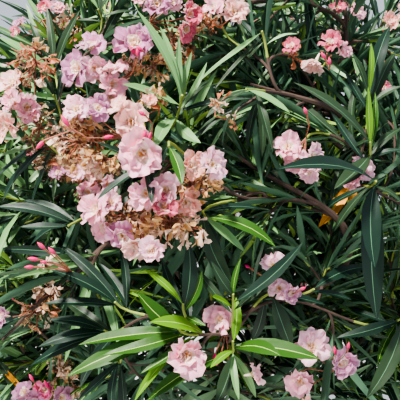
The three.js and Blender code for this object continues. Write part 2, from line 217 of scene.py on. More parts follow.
# The drain holes are bored through the finished pot.
drill = bmesh.new()
for hole in range(DRAIN_HOLES):
    turn = math.tau * hole / DRAIN_HOLES
    place = (DRAIN_CIRCLE_RADIUS * math.cos(turn), DRAIN_CIRCLE_RADIUS * math.sin(turn), 0)
    bmesh.ops.create_cone(drill, cap_ends=True, segments=DRAIN_SEGMENTS, radius1=DRAIN_RADIUS,
                          radius2=DRAIN_RADIUS, depth=3 * POT_FLOOR,
                          matrix=Matrix.Translation(place))
drill_piece = bpy.data.objects.new("drill", mesh_of(drill, "drill", POT_SHARP_ANGLE))
bpy.context.scene.collection.objects.link(drill_piece)
blank = bpy.data.objects.new("pot_blank", pot_mesh)
bpy.context.scene.collection.objects.link(blank)
boring = blank.modifiers.new("drain holes", "BOOLEAN")
boring.object = drill_piece
boring.solver = "EXACT"
bored = blank.evaluated_get(bpy.context.evaluated_depsgraph_get())
pot_mesh = bpy.data.meshes.new_from_object(bored)
bpy.data.objects.remove(blank)
bpy.data.objects.remove(drill_piece)

# Unglazed earthenware: matt and dusty, with the marks of turning, darker patches from the
# kiln, and a pale bloom of lime where damp dries out, thickest near the foot.
terracotta, shader = new_material("unglazed earthenware", "#B5683F", 0.9, 1.5)
place = add_node(terracotta, "ShaderNodeTexCoord", {}, {}).outputs["Object"]
patches = add_node(terracotta, "ShaderNodeTexNoise", {"Scale": 14, "Detail": 6}, {"Vector": place})
clay = add_node(
    terracotta,
    "ShaderNodeValToRGB",
    {"stops": [(0.3, "#94512F"), (0.5, "#B5683F"), (0.72, "#C47C52")]},
    {"Fac": patches.outputs["Fac"]},
)
height = add_node(terracotta, "ShaderNodeSeparateXYZ", {}, {"Vector": place}).outputs["Z"]
near_foot = add_node(
    terracotta,
    "ShaderNodeMapRange",
    {"From Min": 0.02, "From Max": 0.16, "To Min": 0.5, "To Max": 0.12},
    {"Value": height},
)
streaks = add_node(
    terracotta,
    "ShaderNodeTexNoise",
    {"Scale": 26, "Detail": 8, "Roughness": 0.7},
    {"Vector": place},
)
lime_cover = add_node(
    terracotta,
    "ShaderNodeMapRange",
    {"From Min": 0.45, "From Max": 0.7},
    {"Value": streaks.outputs["Fac"]},
)
lime_share = add_node(
    terracotta,
    "ShaderNodeMath",
    {"operation": "MULTIPLY"},
    {0: lime_cover.outputs["Result"], 1: near_foot.outputs["Result"]},
)
limed = add_node(
    terracotta,
    "ShaderNodeMix",
    {"data_type": "RGBA", 7: linear("#D9C7B2")},
    {"Factor": lime_share.outputs["Value"], 6: clay.outputs["Color"]},
)
drive(terracotta, shader, "Base Color", limed.outputs[2])
turning_marks = add_node(
    terracotta,
    "ShaderNodeTexWave",
    {"bands_direction": "Z", "Scale": 45, "Distortion": 1.5, "Detail": 2},
    {"Vector": place},
)
marks = add_node(
    terracotta,
    "ShaderNodeBump",
    {"Strength": 0.25, "Distance": 0.0006},
    {"Height": turning_marks.outputs["Fac"]},
)
grit = add_node(terracotta, "ShaderNodeTexNoise", {"Scale": 700, "Detail": 4}, {"Vector": place})
grain = add_node(
    terracotta,
    "ShaderNodeBump",
    {"Strength": 0.4, "Distance": 0.0005},
    {"Height": grit.outputs["Fac"], "Normal": marks.outputs["Normal"]},
)
drive(terracotta, shader, "Normal", grain.outputs["Normal"])

new_piece("pot_clay", pot_mesh, [terracotta], ["pot"])

# Soil
# Peaty potting soil fills the pot to a little below its rim. It is loose and crumbly on top,
# with small lumps that lie on it.
SOIL_LEVEL = 0.345
SOIL_FOOT_GAP = 0.0003
SOIL_WALL_GAP = 0.0004
SOIL_RINGS = 40
SOIL_SEGMENTS = 120
SOIL_ROUGHNESS = 0.007
SOIL_SETTLING = 0.35
# Coarse and fine crumbs: how many in a metre, and their share of the roughness.
COARSE_CRUMBS = (60, 0.5)
FINE_CRUMBS = (240, 0.25)
SOIL_SHARP_ANGLE = 60
SOIL_LUMPS = 420
LUMP_RADIUS = 0.0042
LUMP_SIZES = (0.3, 1)
LUMP_WIDTHS = (0.6, 1)
LUMP_HEIGHTS = (0.5, 0.8)
LUMP_KNOBS = 9
LUMP_SUNK = 0.002
LUMP_SHARP_ANGLE = 30


def stream(seed):
    """A repeatable stream of numbers from 0 to 1."""
    state = ((seed + 1) * 2654435761) & 0xFFFFFFFF
    while True:
        state = (state * 1664525 + 1013904223) & 0xFFFFFFFF
        yield state / 2**32


def between(ends, random):
    """A number from the first of two ends to the second."""
    return ends[0] + (ends[1] - ends[0]) * next(random)


class Heap:
    """Small shapes, kept as arrays of corners, triangles and finishes until they are joined."""

    def __init__(self):
        self.corners = []
        self.triangles = []
        self.finishes = []
        self.count = 0

    def add(self, corners, triangles, finishes):
        self.corners.append(corners)
        self.triangles.append(triangles + self.count)
        self.finishes.append(finishes)
        self.count += len(corners)

    def mesh(self, name, sharp_angle):
        corners = np.concatenate(self.corners).astype(np.float32)
        triangles = np.concatenate(self.triangles).astype(np.int32)
        mesh = bpy.data.meshes.new(name)
        mesh.vertices.add(len(corners))
        mesh.vertices.foreach_set("co", corners.ravel())
        mesh.loops.add(triangles.size)
        mesh.loops.foreach_set("vertex_index", triangles.ravel())
        mesh.polygons.add(len(triangles))
        mesh.polygons.foreach_set("loop_start", np.arange(0, triangles.size, 3, dtype=np.int32))
        mesh.polygons.foreach_set("material_index", np.concatenate(self.finishes).astype(np.int32))
        mesh.update(calc_edges=True)
        mesh.shade_smooth()
        mesh.set_sharp_from_angle(angle=math.radians(sharp_angle))
        return mesh


def arrays_of(bm):
    """A bmesh as arrays: its corners, its triangles, and each triangle's material index."""
    bmesh.ops.triangulate(bm, faces=bm.faces)
    bm.verts.index_update()
    corners = np.array([vert.co[:] for vert in bm.verts])
    triangles = np.array([[vert.index for vert in face.verts] for face in bm.faces])
    finishes = np.array([face.material_index for face in bm.faces])
    bm.free()
    return corners, triangles, finishes


soil_foot = POT_FLOOR + SOIL_FOOT_GAP
soil_reach = pot_radius_at(SOIL_LEVEL) - POT_WALL - SOIL_WALL_GAP
top_rings = [(soil_reach * (1 - ring / SOIL_RINGS), SOIL_LEVEL) for ring in range(SOIL_RINGS + 1)]
soil_walls = [(0, soil_foot), (pot_radius_at(soil_foot) - POT_WALL - SOIL_WALL_GAP, soil_foot)]
soil = turned(soil_walls + top_rings, SOIL_SEGMENTS)
for vert in soil.verts:
    if vert.co.z > SOIL_LEVEL - 1e-4:
        coarse = COARSE_CRUMBS[1] * noise.fractal(vert.co * COARSE_CRUMBS[0], 0.8, 2, 5)
        fine = FINE_CRUMBS[1] * noise.noise(vert.co * FINE_CRUMBS[0])
        vert.co.z += SOIL_ROUGHNESS * (coarse + fine - SOIL_SETTLING)
soil_mesh = mesh_of(soil, "soil_peat", SOIL_SHARP_ANGLE)

# Damp peat and composted bark: matt, nearly black in its hollows and brown on its lumps.
peat, shader = new_material("damp peat", "#3B2B20", 1.0, 1.4)
place = add_node(peat, "ShaderNodeTexCoord", {}, {}).outputs["Object"]
lumps = add_node(
    peat,
    "ShaderNodeTexNoise",
    {"Scale": 180, "Detail": 8, "Roughness": 0.75},
    {"Vector": place},
)
browns = add_node(
    peat,
    "ShaderNodeValToRGB",
    {"stops": [(0.35, "#1C140E"), (0.5, "#3B2B20"), (0.68, "#6A5240")]},
    {"Fac": lumps.outputs["Fac"]},
)
drive(peat, shader, "Base Color", browns.outputs["Color"])
crumble = add_node(
    peat,
    "ShaderNodeBump",
    {"Strength": 0.9, "Distance": 0.002},
    {"Height": lumps.outputs["Fac"]},
)
drive(peat, shader, "Normal", crumble.outputs["Normal"])

new_piece("soil_peat", soil_mesh, [peat], ["soil"])

lump = bmesh.new()
bmesh.ops.create_icosphere(lump, subdivisions=1, radius=1)
lump_corners, lump_triangles, lump_finishes = arrays_of(lump)
lump_heap = Heap()
random = stream(7)
for _ in range(SOIL_LUMPS):
    out = (soil_reach - 2 * LUMP_RADIUS) * math.sqrt(next(random))
    turn = math.tau * next(random)
    size = LUMP_RADIUS * between(LUMP_SIZES, random)
    stretch = size * np.array([1, between(LUMP_WIDTHS, random), between(LUMP_HEIGHTS, random)])
    ragged = lump_corners * (0.8 + 0.4 * np.sin(LUMP_KNOBS * lump_corners[:, [1, 2, 0]] + turn))
    lies_at = SOIL_LEVEL - LUMP_SUNK + 0.3 * size
    middle = np.array([out * math.cos(turn), out * math.sin(turn), lies_at])
    lump_heap.add(middle + ragged * stretch, lump_triangles, lump_finishes)
new_piece("soil_lumps", lump_heap.mesh("soil_lumps", LUMP_SHARP_ANGLE), [peat], ["soil"])

# Stems
# Five woody stems grow from the soil and lean outwards, the thickest at the foot. Their bark is
# smooth and grey-brown, with rings where whorls of leaves once stood.
STEMS = {
    "stem_middle": {"azimuth": 80, "at_soil": 0.004, "at_fork": 0.020, "fork_height": 0.820},
    "stem_1": {"azimuth": -140, "at_soil": 0.058, "at_fork": 0.125, "fork_height": 0.690},
    "stem_2": {"azimuth": -52, "at_soil": 0.058, "at_fork": 0.125, "fork_height": 0.728},
    "stem_3": {"azimuth": 40, "at_soil": 0.058, "at_fork": 0.125, "fork_height": 0.690},
    "stem_4": {"azimuth": 133, "at_soil": 0.058, "at_fork": 0.125, "fork_height": 0.728},
}
STEM_TWIST = 6
STEM_RADIUS_AT_SOIL = 0.014
STEM_RADIUS_AT_FORK = 0.0095
ROOT_FLARE = 0.007
ROOT_FLARE_HEIGHT = 0.030
CUT_OFF_LENGTH = 0.012
CURVE_PULL = 0.35
CURVE_SAMPLES = 64
LIMB_SIDES = 20
RING_SPACING = 0.004
SCAR_SPACING = 0.034
SCAR_HEIGHT = 0.0008
SCAR_WIDTH = 0.0025
SCAR_WAVER = 0.08
RIDGES = 5
RIDGE_HEIGHT = 0.0003
RIDGE_TWIST = 25
BARK_ROUGHNESS = 0.0006
BARK_LUMPS = 55
BARK_SHARP_ANGLE = 50


def unit(vector):
    return vector / np.linalg.norm(vector)


def on_circle(radius, azimuth, height):
    turn = math.radians(azimuth)
    return np.array([radius * math.cos(turn), radius * math.sin(turn), height])


def curve_between(start, start_way, end, end_way):
    """The four corners of a cubic curve that leaves and arrives in the given ways."""
    pull = CURVE_PULL * np.linalg.norm(end - start)
    return np.array([start, start + pull * start_way, end - pull * end_way, end])


def bezier(curve, t):
    t = np.asarray(t, float)[..., None]
    a, b, c, d = curve
    points = (1 - t) ** 3 * a + 3 * (1 - t) ** 2 * t * b + 3 * (1 - t) * t**2 * c + t**3 * d
    slopes = (1 - t) ** 2 * (b - a) + 2 * (1 - t) * t * (c - b) + t**2 * (d - c)
    return points, slopes / np.linalg.norm(slopes, axis=-1, keepdims=True)


def length_table(curve):
    t = np.linspace(0, 1, CURVE_SAMPLES + 1)
    steps = np.linalg.norm(np.diff(bezier(curve, t)[0], axis=0), axis=1)
    return t, np.concatenate([[0], np.cumsum(steps)])


def length_of(curve):
    return length_table(curve)[1][-1]


def along(curve, shares):
    """The points and tangents of a curve at shares of its length."""
    t, lengths = length_table(curve)
    return bezier(curve, np.interp(np.asarray(shares) * lengths[-1], lengths, t))


tube_shapes = {}


def tube_shape(sides, steps):
    """A closed tube of radius 1 from Z 0 to 1, as arrays. Its finish is its step's number."""
    if (sides, steps) not in tube_shapes:
        bm = bmesh.new()
        bmesh.ops.create_cone(bm, cap_ends=True, segments=sides, radius1=1, radius2=1, depth=1,
                              matrix=Matrix.Translation((0, 0, 0.5)))
        upright = [edge for edge in bm.edges if abs(edge.verts[0].co.z - edge.verts[1].co.z) > 0.5]
        bmesh.ops.subdivide_edges(bm, edges=upright, cuts=steps - 1)
        for face in bm.faces:
            face.material_index = min(int(face.calc_center_median().z * steps), steps - 1)
        tube_shapes[sides, steps] = arrays_of(bm)
    return tube_shapes[sides, steps]


def tube_along(curve, radii, sides):
    """A tube's corners along a curve, with a radius for each of its rings."""
    steps = len(radii) - 1
    corners, triangles, step_numbers = tube_shape(sides, steps)
    points, tangents = along(curve, np.linspace(0, 1, steps + 1))
    chord = curve[3] - curve[0]
    level = unit(np.cross(chord, np.eye(3)[np.argmin(np.abs(chord))]))
    sideways = np.cross(level, tangents)
    sideways /= np.linalg.norm(sideways, axis=1, keepdims=True)
    other = np.cross(tangents, sideways)
    ring = np.rint(corners[:, 2] * steps).astype(int)
    out = corners[:, [0]] * sideways[ring] + corners[:, [1]] * other[ring]
    return points[ring] + np.asarray(radii)[ring, None] * out, triangles, step_numbers


def stem_curve(azimuth, at_soil, at_fork, fork_height):
    foot = on_circle(at_soil, azimuth, SOIL_LEVEL - CUT_OFF_LENGTH)
    fork = on_circle(at_fork, azimuth + STEM_TWIST, fork_height)
    lean = unit(on_circle(at_fork - at_soil, azimuth, fork_height))
    return curve_between(foot, lean, fork, lean)


def bark_tube(name, curve, radius_at, nodes):
    """A limb with its bark's relief: faint ridges, rings of old leaf scars, and lumps."""
    length = length_of(curve)
    steps = round(length / RING_SPACING)
    rings = np.linspace(0, 1, steps + 1)
    radii = [radius_at(ring) for ring in rings]
    smooth, triangles, step_numbers = tube_along(curve, radii, LIMB_SIDES)
    shape = tube_shape(LIMB_SIDES, steps)[0]
    centres = along(curve, rings)[0][np.rint(shape[:, 2] * steps).astype(int)]
    out = smooth - centres
    out /= np.linalg.norm(out, axis=1, keepdims=True)
    run = shape[:, 2] * length
    turn = np.arctan2(shape[:, 1], shape[:, 0])
    scar_place = run / SCAR_SPACING + SCAR_WAVER * np.sin(3 * turn)
    from_scar = SCAR_SPACING * (scar_place - np.rint(scar_place))
    scars = SCAR_HEIGHT * np.exp(-((from_scar / SCAR_WIDTH) ** 2)) * (0.6 + 0.4 * np.cos(3 * turn))
    ridges = RIDGE_HEIGHT * np.sin(RIDGES * turn + RIDGE_TWIST * run)
    lumps = [noise.fractal(Vector(point) * BARK_LUMPS, 1, 2, 4) for point in smooth]
    bumps = scars + ridges + BARK_ROUGHNESS * np.array(lumps)
    heap = Heap()
    heap.add(smooth + bumps[:, None] * out, triangles, np.zeros_like(step_numbers))
    return new_piece(name, heap.mesh(name, BARK_SHARP_ANGLE), [bark], nodes)


# Oleander bark: smooth, dull and grey-brown, with paler specks and darker hollows.
bark, shader = new_material("grey-brown oleander bark", "#6F5846", 0.8, 1.45)
place = add_node(bark, "ShaderNodeTexCoord", {}, {}).outputs["Object"]
blotches = add_node(bark, "ShaderNodeTexNoise", {"Scale": 60, "Detail": 6}, {"Vector": place})
browns = add_node(
    bark,
    "ShaderNodeValToRGB",
    {"stops": [(0.3, "#4A382C"), (0.5, "#6F5846"), (0.7, "#94806A")]},
    {"Fac": blotches.outputs["Fac"]},
)
specks = add_node(bark, "ShaderNodeTexVoronoi", {"Scale": 220}, {"Vector": place})
speck_cover = add_node(
    bark,
    "ShaderNodeMapRange",
    {"From Min": 0.22, "From Max": 0.1},
    {"Value": specks.outputs["Distance"]},
)
specked = add_node(
    bark,
    "ShaderNodeMix",
    {"data_type": "RGBA", 7: linear("#A8957C")},
    {"Factor": speck_cover.outputs["Result"], 6: browns.outputs["Color"]},
)
drive(bark, shader, "Base Color", specked.outputs[2])
wrinkles = add_node(
    bark,
    "ShaderNodeBump",
    {"Strength": 0.6, "Distance": 0.0008},
    {"Height": blotches.outputs["Fac"]},
)
drive(bark, shader, "Normal", wrinkles.outputs["Normal"])

limb_curves = {}
for name, sizes in STEMS.items():
    limb_curves[name] = stem_curve(**sizes)
    stem_length = length_of(limb_curves[name])

    def stem_radius_at(share):
        flare = ROOT_FLARE * math.exp((CUT_OFF_LENGTH - share * stem_length) / ROOT_FLARE_HEIGHT)
        taper = STEM_RADIUS_AT_SOIL + share * (STEM_RADIUS_AT_FORK - STEM_RADIUS_AT_SOIL)
        return taper + min(flare, ROOT_FLARE)

    bark_tube(f"{name}_bark", limb_curves[name], stem_radius_at, [name])

# Boughs
# Each stem forks into boughs, and each bough ends in one mass of leafy shoots. The leader goes
# on from the stem's tip, and the side boughs leave the stem below it with a swollen collar.
BOUGHS = {
    "top": ("stem_middle", 1),
    "upper_1": ("stem_1", 1),
    "upper_2": ("stem_2", 1),
    "upper_3": ("stem_3", 1),
    "upper_4": ("stem_4", 1),
    "lower_1": ("stem_1", 0.93),
    "lower_2": ("stem_2", 0.84),
    "lower_3": ("stem_2", 0.93),
    "lower_4": ("stem_3", 0.84),
    "lower_5": ("stem_3", 0.93),
    "lower_6": ("stem_4", 0.93),
}
BOUGH_RADIUS_AT_FORK = 0.008
BOUGH_RADIUS_AT_TIP = 0.005
BOUGH_COLLAR = 0.0025
BOUGH_COLLAR_LENGTH = 0.02
BOUGH_UPTURN = 0.35
BOUGH_HEART_HEIGHT = 0.690
BOUGH_SHARE_OF_RISE = 0.62
BOUGH_SHARE_OF_WAY = 0.5
UP = np.array([0, 0, 1])
TOP_MASS_HEIGHT = 1.455
UPPER_RING = {"count": 4, "first_azimuth": -135, "radius": 0.290, "height": 1.265}
LOWER_RING = {"count": 6, "first_azimuth": -150, "radius": 0.400, "height": 0.875}
AZIMUTH_SPREAD = 14
HEIGHT_STEP = 0.055


def ring_middles(kind, count, first_azimuth, radius, height):
    """The middles of a ring of masses, spaced a little unevenly and high and low by turns."""
    middles = {}
    for i in range(count):
        shift = AZIMUTH_SPREAD * (next(stream(round(1e6 * radius) + i)) - 0.5)
        azimuth = first_azimuth + 360 / count * i + shift
        step = HEIGHT_STEP if i % 2 else -HEIGHT_STEP
        middles[f"{kind}_{i + 1}"] = on_circle(radius, azimuth, height + step)
    return middles


mass_middles = {
    "top": on_circle(0, 0, TOP_MASS_HEIGHT),
    **ring_middles("upper", **UPPER_RING),
    **ring_middles("lower", **LOWER_RING),
}


def at_share(curve, share):
    """The point and the tangent of a curve at one share of its length."""
    points, tangents = along(curve, [share])
    return points[0], tangents[0]


def bough_curve(stem, share, middle):
    start, way = at_share(limb_curves[stem], share)
    rise = BOUGH_HEART_HEIGHT + BOUGH_SHARE_OF_RISE * (middle[2] - BOUGH_HEART_HEIGHT)
    end = (1 - BOUGH_SHARE_OF_WAY) * np.array([0, 0, rise]) + BOUGH_SHARE_OF_WAY * middle
    aim = unit(end - start)
    start_way = way if share == 1 else unit(aim + way)
    return curve_between(start, start_way, end, unit(aim + BOUGH_UPTURN * UP))


for mass, (stem, share) in BOUGHS.items():
    curve = bough_curve(stem, share, mass_middles[mass])
    limb_curves[mass] = curve
    bough_length = length_of(curve)

    def bough_radius_at(share):
        collar = BOUGH_COLLAR * math.exp(-share * bough_length / BOUGH_COLLAR_LENGTH)
        return BOUGH_RADIUS_AT_FORK + share * (BOUGH_RADIUS_AT_TIP - BOUGH_RADIUS_AT_FORK) + collar

    bark_tube(f"bough_{mass}_bark", curve, bough_radius_at, [f"bough_{mass}"])

# Twigs
# A mass's own stem goes on from its bough, and its shoots fork from that stem and from each
# other, each towards a tip of its own. They are brown where they are old and green at the end.
FOLIAGE_MIDDLE = np.array([0, 0, 1.070])
TIP_REACH_SIDE = 0.475
TIP_REACH_UP = 0.500
TIP_REACH_DOWN = 0.500
LOWEST_RISE = -0.8
SHALLOWEST_TIP = 0.8
SHOOT_COUNT = 430
INNER_SHOOT_COUNT = 110
INNER_SHARE = 0.7
MODEL_SHOOTS = 118
LIFT_ABOVE = 0.65
LIFT_BELOW = 0.35
RISE_STEP = 0.7548776662466927
AZIMUTH_STEP = 0.5698402909980532
FLOWERING_SHARE = 0.6
SPACE_MARGIN = 0.001
MASS_STEM_SHARE = 0.5
MASS_STEM_TIP_RADIUS = 0.0042
STEM_FORKS = [0.3, 0.36, 0.42, 0.48, 0.55, 0.61, 0.67, 0.73, 0.8, 0.86, 0.92, 0.97]
TWIG_FORKS = [0.24, 0.38, 0.52]
LEAST_FORK_COSINE = 0.15
BENT_BACK_COST = 0.9
FORK_BEND = 0.6
FIRST_TWIG_RADIUS = 0.0036
TWIG_THINNING = 0.82
LEAST_TWIG_RADIUS = 0.0021
TWIG_TIP_RADIUS = 0.0015
TWIG_SIDES = 7
TWIG_STEPS = 10
TWIG_SHARP_ANGLE = 50
GREEN_STEP = 6
# The finish of each step of a twig, from foot to tip: all brown, or green from one step on.
ALL_BROWN = [0] * TWIG_STEPS
GREEN_AT_TIP = [0] * GREEN_STEP + [1] * (TWIG_STEPS - GREEN_STEP)
# Shoots of the model's rule that face the eye end this share of the way out, so that they lie
# behind the photograph's own. They bear no flowers in the picture, or this near to its edges.
BEHIND_SHARE = 0.86
FACING_THE_EYE = -0.5
PICTURE_MARGIN = 16

# Old limbs that the photograph shows inside the foliage: the pixel where each ends, the pixel
# that it comes from, how far it is behind the foliage's front, and its radius at its foot.
PHOTO_LIMBS = {
    "long_limb": {"top": (238, 156), "grows_from": (350, 250), "behind": 0.06, "radius": 0.0055},
    "high_limb": {"top": (250, 84), "grows_from": (336, 111), "behind": 0.05, "radius": 0.0052},
    "left_limb": {"top": (2, 340), "grows_from": (62, 286), "behind": -0.11, "radius": 0.0042},
    "shade_limb": {"top": (66, 282), "grows_from": (124, 240), "behind": 0.05, "radius": 0.0050},
    "upright_limb": {"top": (346, 2), "grows_from": (341, 60), "behind": 0.08, "radius": 0.0055},
    "crossing_limb": {"top": (296, 60), "grows_from": (352, 150), "behind": 0.10, "radius": 0.0050},
}
LIMB_TIP_SHARE = 0.4
GROWS_FROM_DEEPER = 0.03

# Plain leafy shoots that close the foliage: how far each lot is behind its front, and the pixels
# of their tips. They lean outwards from the picture's middle, past its edges too.
PLAIN_SHOOTS = {
    "edge": {
        "behind": 0.06,
        "pixels": [
            (6, 58), (-8, 92), (-6, 150), (4, 196), (-6, 232), (8, 266), (-8, 296), (6, 340),
            (-6, 372), (14, 398), (40, 410), (76, 414), (150, 416), (222, 414), (282, 410),
            (340, 414), (380, 404), (404, 372), (410, 330), (408, 286), (410, 240), (408, 192),
            (410, 140), (406, 96), (408, 52), (396, 8), (360, -10), (310, -12), (268, -8),
            (200, -12), (112, -6),
        ],
    },
    "middle": {
        "behind": 0.055,
        "pixels": [
            (330, 268), (306, 258), (352, 238), (262, 224), (300, 200), (334, 206), (284, 112),
            (318, 128), (262, 176), (236, 200), (356, 118), (30, 332), (52, 358), (96, 384),
        ],
    },
    "deep": {
        "behind": 0.14,
        "pixels": [
            (14, 344), (34, 378), (8, 392), (60, 350), (92, 392), (28, 318), (20, 282), (70, 312),
            (388, 382), (358, 392), (330, 322), (392, 300), (388, 14), (262, 24), (300, 26),
            (318, 60), (394, 66), (282, 56), (262, 132), (340, 130), (380, 236), (150, 386),
            (232, 392), (44, 210), (262, 366), (288, 396), (318, 378), (270, 346), (342, 392),
            (210, 396), (118, 398), (0, 366), (22, 332), (44, 346), (16, 362), (78, 366),
        ],
    },
    "far": {
        "behind": 0.24,
        "pixels": [
            (16, 330), (56, 372), (104, 410), (160, 408), (212, 412), (262, 384), (284, 412),
            (300, 366), (318, 396), (338, 348), (352, 376), (372, 344), (366, 406), (386, 322),
            (394, 362), (396, 396), (346, 306), (384, 284), (242, 372), (30, 392), (6, 352),
            (20, 348), (36, 330), (52, 352), (70, 336), (10, 376), (64, 394), (88, 372),
            (104, 352), (120, 376), (136, 396), (2, 320), (30, 310), (84, 318), (362, 24),
            (40, 346), (100, 340), (112, 364), (148, 352), (26, 362), (74, 350), (356, 44),
        ],
    },
}
PLAIN_LEAN = 0.14
PLAIN_RISE = 8

# Shoots that the photograph shows: the pixel where the highest leaves or the stalks of the
# truss meet, the pixel that it grows from, and how far it is behind the front of the foliage.
PHOTO_SHOOTS = {
    "fan": {"top": (206, 218), "grows_from": (192, 208), "behind": -0.02},
    "young_low": {"top": (233, 341), "grows_from": (236, 385), "behind": -0.045},
    "young_high": {"top": (233, 294), "grows_from": (233, 338), "behind": -0.05},
    "young_left": {"top": (178, 328), "grows_from": (188, 356), "behind": -0.04},
    "young_upper_left": {"top": (183, 304), "grows_from": (180, 326), "behind": -0.035},
    "upright_whorl": {"top": (182, 95), "grows_from": (188, 128), "behind": -0.02},
    "blunt": {"top": (169, 147), "grows_from": (163, 128), "behind": -0.06},
    "grey_arch": {"top": (246, 89), "grows_from": (266, 92), "behind": -0.01},
    "long_left": {"top": (262, 31), "grows_from": (272, 60), "behind": 0},
    "right_stem": {"top": (370, 142), "grows_from": (376, 182), "behind": -0.02},
    "right_tip": {"top": (369, 92), "grows_from": (370, 138), "behind": -0.01},
    "right_low": {"top": (376, 181), "grows_from": (381, 222), "behind": -0.02},
    "middle_dark": {"top": (273, 296), "grows_from": (262, 282), "behind": 0.02},
    "slant_dark": {"top": (314, 289), "grows_from": (300, 300), "behind": 0.03},
    "corner_low": {"top": (404, 317), "grows_from": (406, 352), "behind": -0.02},
    "left_dark": {"top": (115, 302), "grows_from": (130, 322), "behind": -0.01},
    "left_low": {"top": (104, 330), "grows_from": (124, 348), "behind": 0},
    "left_high": {"top": (68, 226), "grows_from": (88, 244), "behind": 0.01},
    "left_edge": {"top": (42, 139), "grows_from": (60, 152), "behind": 0},
    "under_bloom": {"top": (141, 168), "grows_from": (154, 160), "behind": -0.06},
    "upper_left": {"top": (53, 95), "grows_from": (64, 110), "behind": 0.03},
    "shoulder": {"top": (52, 62), "grows_from": (60, 88), "behind": 0.05},
    "crest": {"top": (98, 9), "grows_from": (116, 32), "behind": 0.04},
    "bottom_dark": {"top": (118, 362), "grows_from": (126, 380), "behind": 0.02},
    "bottom_left": {"top": (-4, 358), "grows_from": (-10, 380), "behind": 0},
    "shade_lilac_truss": {"top": (106, 90), "grows_from": (126, 116), "behind": 0},
    "edge_truss": {"top": (34, 112), "grows_from": (52, 132), "behind": 0},
    "shell_truss": {"top": (122, 138), "grows_from": (134, 176), "behind": -0.02},
    "front_truss": {"top": (152, 136), "grows_from": (166, 170), "behind": -0.045},
    "shade_truss": {"top": (84, 186), "grows_from": (110, 204), "behind": 0.08},
    "left_truss": {"top": (46, 306), "grows_from": (66, 330), "behind": 0.03},
    "high_withered": {"top": (156, 110), "grows_from": (172, 130), "behind": -0.01},
    "small_withered": {"top": (215, 116), "grows_from": (222, 142), "behind": -0.01},
    "tiny_withered": {"top": (294, 46), "grows_from": (304, 72), "behind": 0.04},
    "heart_truss": {"top": (130, 218), "grows_from": (146, 236), "behind": -0.01},
    "sunlit_truss": {"top": (166, 226), "grows_from": (186, 232), "behind": -0.03},
    "warm_truss": {"top": (186, 178), "grows_from": (200, 208), "behind": -0.01},
    "right_truss": {"top": (306, 138), "grows_from": (318, 118), "behind": 0.02},
    "hidden_truss": {"top": (352, 180), "grows_from": (362, 205), "behind": 0.07},
    "salmon_truss": {"top": (326, 62), "grows_from": (318, 96), "behind": 0.03},
    "high_truss": {"top": (150, 22), "grows_from": (158, 48), "behind": 0.03},
    "high_right_truss": {"top": (222, 26), "grows_from": (232, 60), "behind": 0.03},
    "far_right_truss": {"top": (384, 34), "grows_from": (372, 66), "behind": 0.06},
    "low_truss": {"top": (332, 372), "grows_from": (318, 398), "behind": 0},
    "twin_truss": {"top": (292, 296), "grows_from": (300, 322), "behind": 0.02},
    "half_hidden_truss": {"top": (226, 330), "grows_from": (230, 362), "behind": 0.02},
    "open_truss": {"top": (188, 370), "grows_from": (192, 398), "behind": -0.06},
    "magenta_truss": {"top": (48, 400), "grows_from": (54, 424), "behind": -0.01},
    "bud_truss": {"top": (72, 272), "grows_from": (112, 298), "behind": -0.02},
    "distant_truss": {"top": (42, 20), "grows_from": (50, 44), "behind": 0.1},
    "shaded_truss": {"top": (344, 22), "grows_from": (338, 50), "behind": 0.13},
}


def reach_along(way):
    """How far the tips reach from the foliage's middle in one direction."""
    upright = TIP_REACH_UP if way[2] > 0 else TIP_REACH_DOWN
    return 1 / math.hypot(math.hypot(way[0], way[1]) / TIP_REACH_SIDE, way[2] / upright)


def front_depth(pixel):
    """How far in front of the eye a pixel's ray meets, or passes nearest to, the tips' reach."""
    reach = np.array([TIP_REACH_SIDE, TIP_REACH_SIDE, TIP_REACH_UP])
    way = ray_through(pixel) / reach
    offset = (EYE - FOLIAGE_MIDDLE) / reach
    along_ray = -(offset @ way) / (way @ way)
    missed_by = offset @ offset - along_ray**2 * (way @ way)
    return along_ray - math.sqrt(max(1 - missed_by, 0) / (way @ way))


def in_picture(point):
    """Whether a point of the plant's near side shows in the picture, or just past its edges."""
    off_middle = np.abs(pixels_of(point)[0][0] - PHOTO_PIXELS / 2)
    return bool((off_middle <= PHOTO_PIXELS / 2 + PICTURE_MARGIN).all()) and point[1] < 0


def spread_shoot(index):
    """A shoot of the model's own rule: its tip, the way it points, its turn and if it flowers."""
    random = stream(index)
    rise = LOWEST_RISE + (1 - LOWEST_RISE) * ((0.5 + index * RISE_STEP) % 1)
    azimuth = 360 * ((0.5 + index * AZIMUTH_STEP) % 1)
    outward = on_circle(math.sqrt(1 - rise * rise), azimuth, rise)
    depth = SHALLOWEST_TIP + (1 - SHALLOWEST_TIP) * next(random)
    away = outward * reach_along(outward) * depth
    if index >= SHOOT_COUNT:
        away = away * INNER_SHARE
    way = unit(outward + (LIFT_BELOW if rise < 0 else LIFT_ABOVE) * UP)
    turn = 360 * next(random)
    flowers = next(random) < FLOWERING_SHARE
    if in_picture(FOLIAGE_MIDDLE + away):
        flowers = False
        if outward @ FORWARD < FACING_THE_EYE:
            away = away * BEHIND_SHARE
    if index >= SHOOT_COUNT:
        flowers = False
    return {"name": f"shoot_{index}", "tip": FOLIAGE_MIDDLE + away, "way": way, "turn": turn,
            "flowers": flowers, "in_photo": False, "radius": None}


def photo_shoot(name, top, grows_from, behind, radius=None):
    """A shoot of the picture. Only an old limb has a radius, and keeps to what it passes."""
    depth = front_depth(top) + behind
    tip = at_pixel(top, depth)
    passes = at_pixel(grows_from, depth + GROWS_FROM_DEEPER)
    turn = 360 * next(stream(round(1000 * top[0] + top[1])))
    return {"name": name, "tip": tip, "way": unit(tip - passes), "turn": turn, "flowers": False,
            "in_photo": True, "radius": radius, "passes": passes}


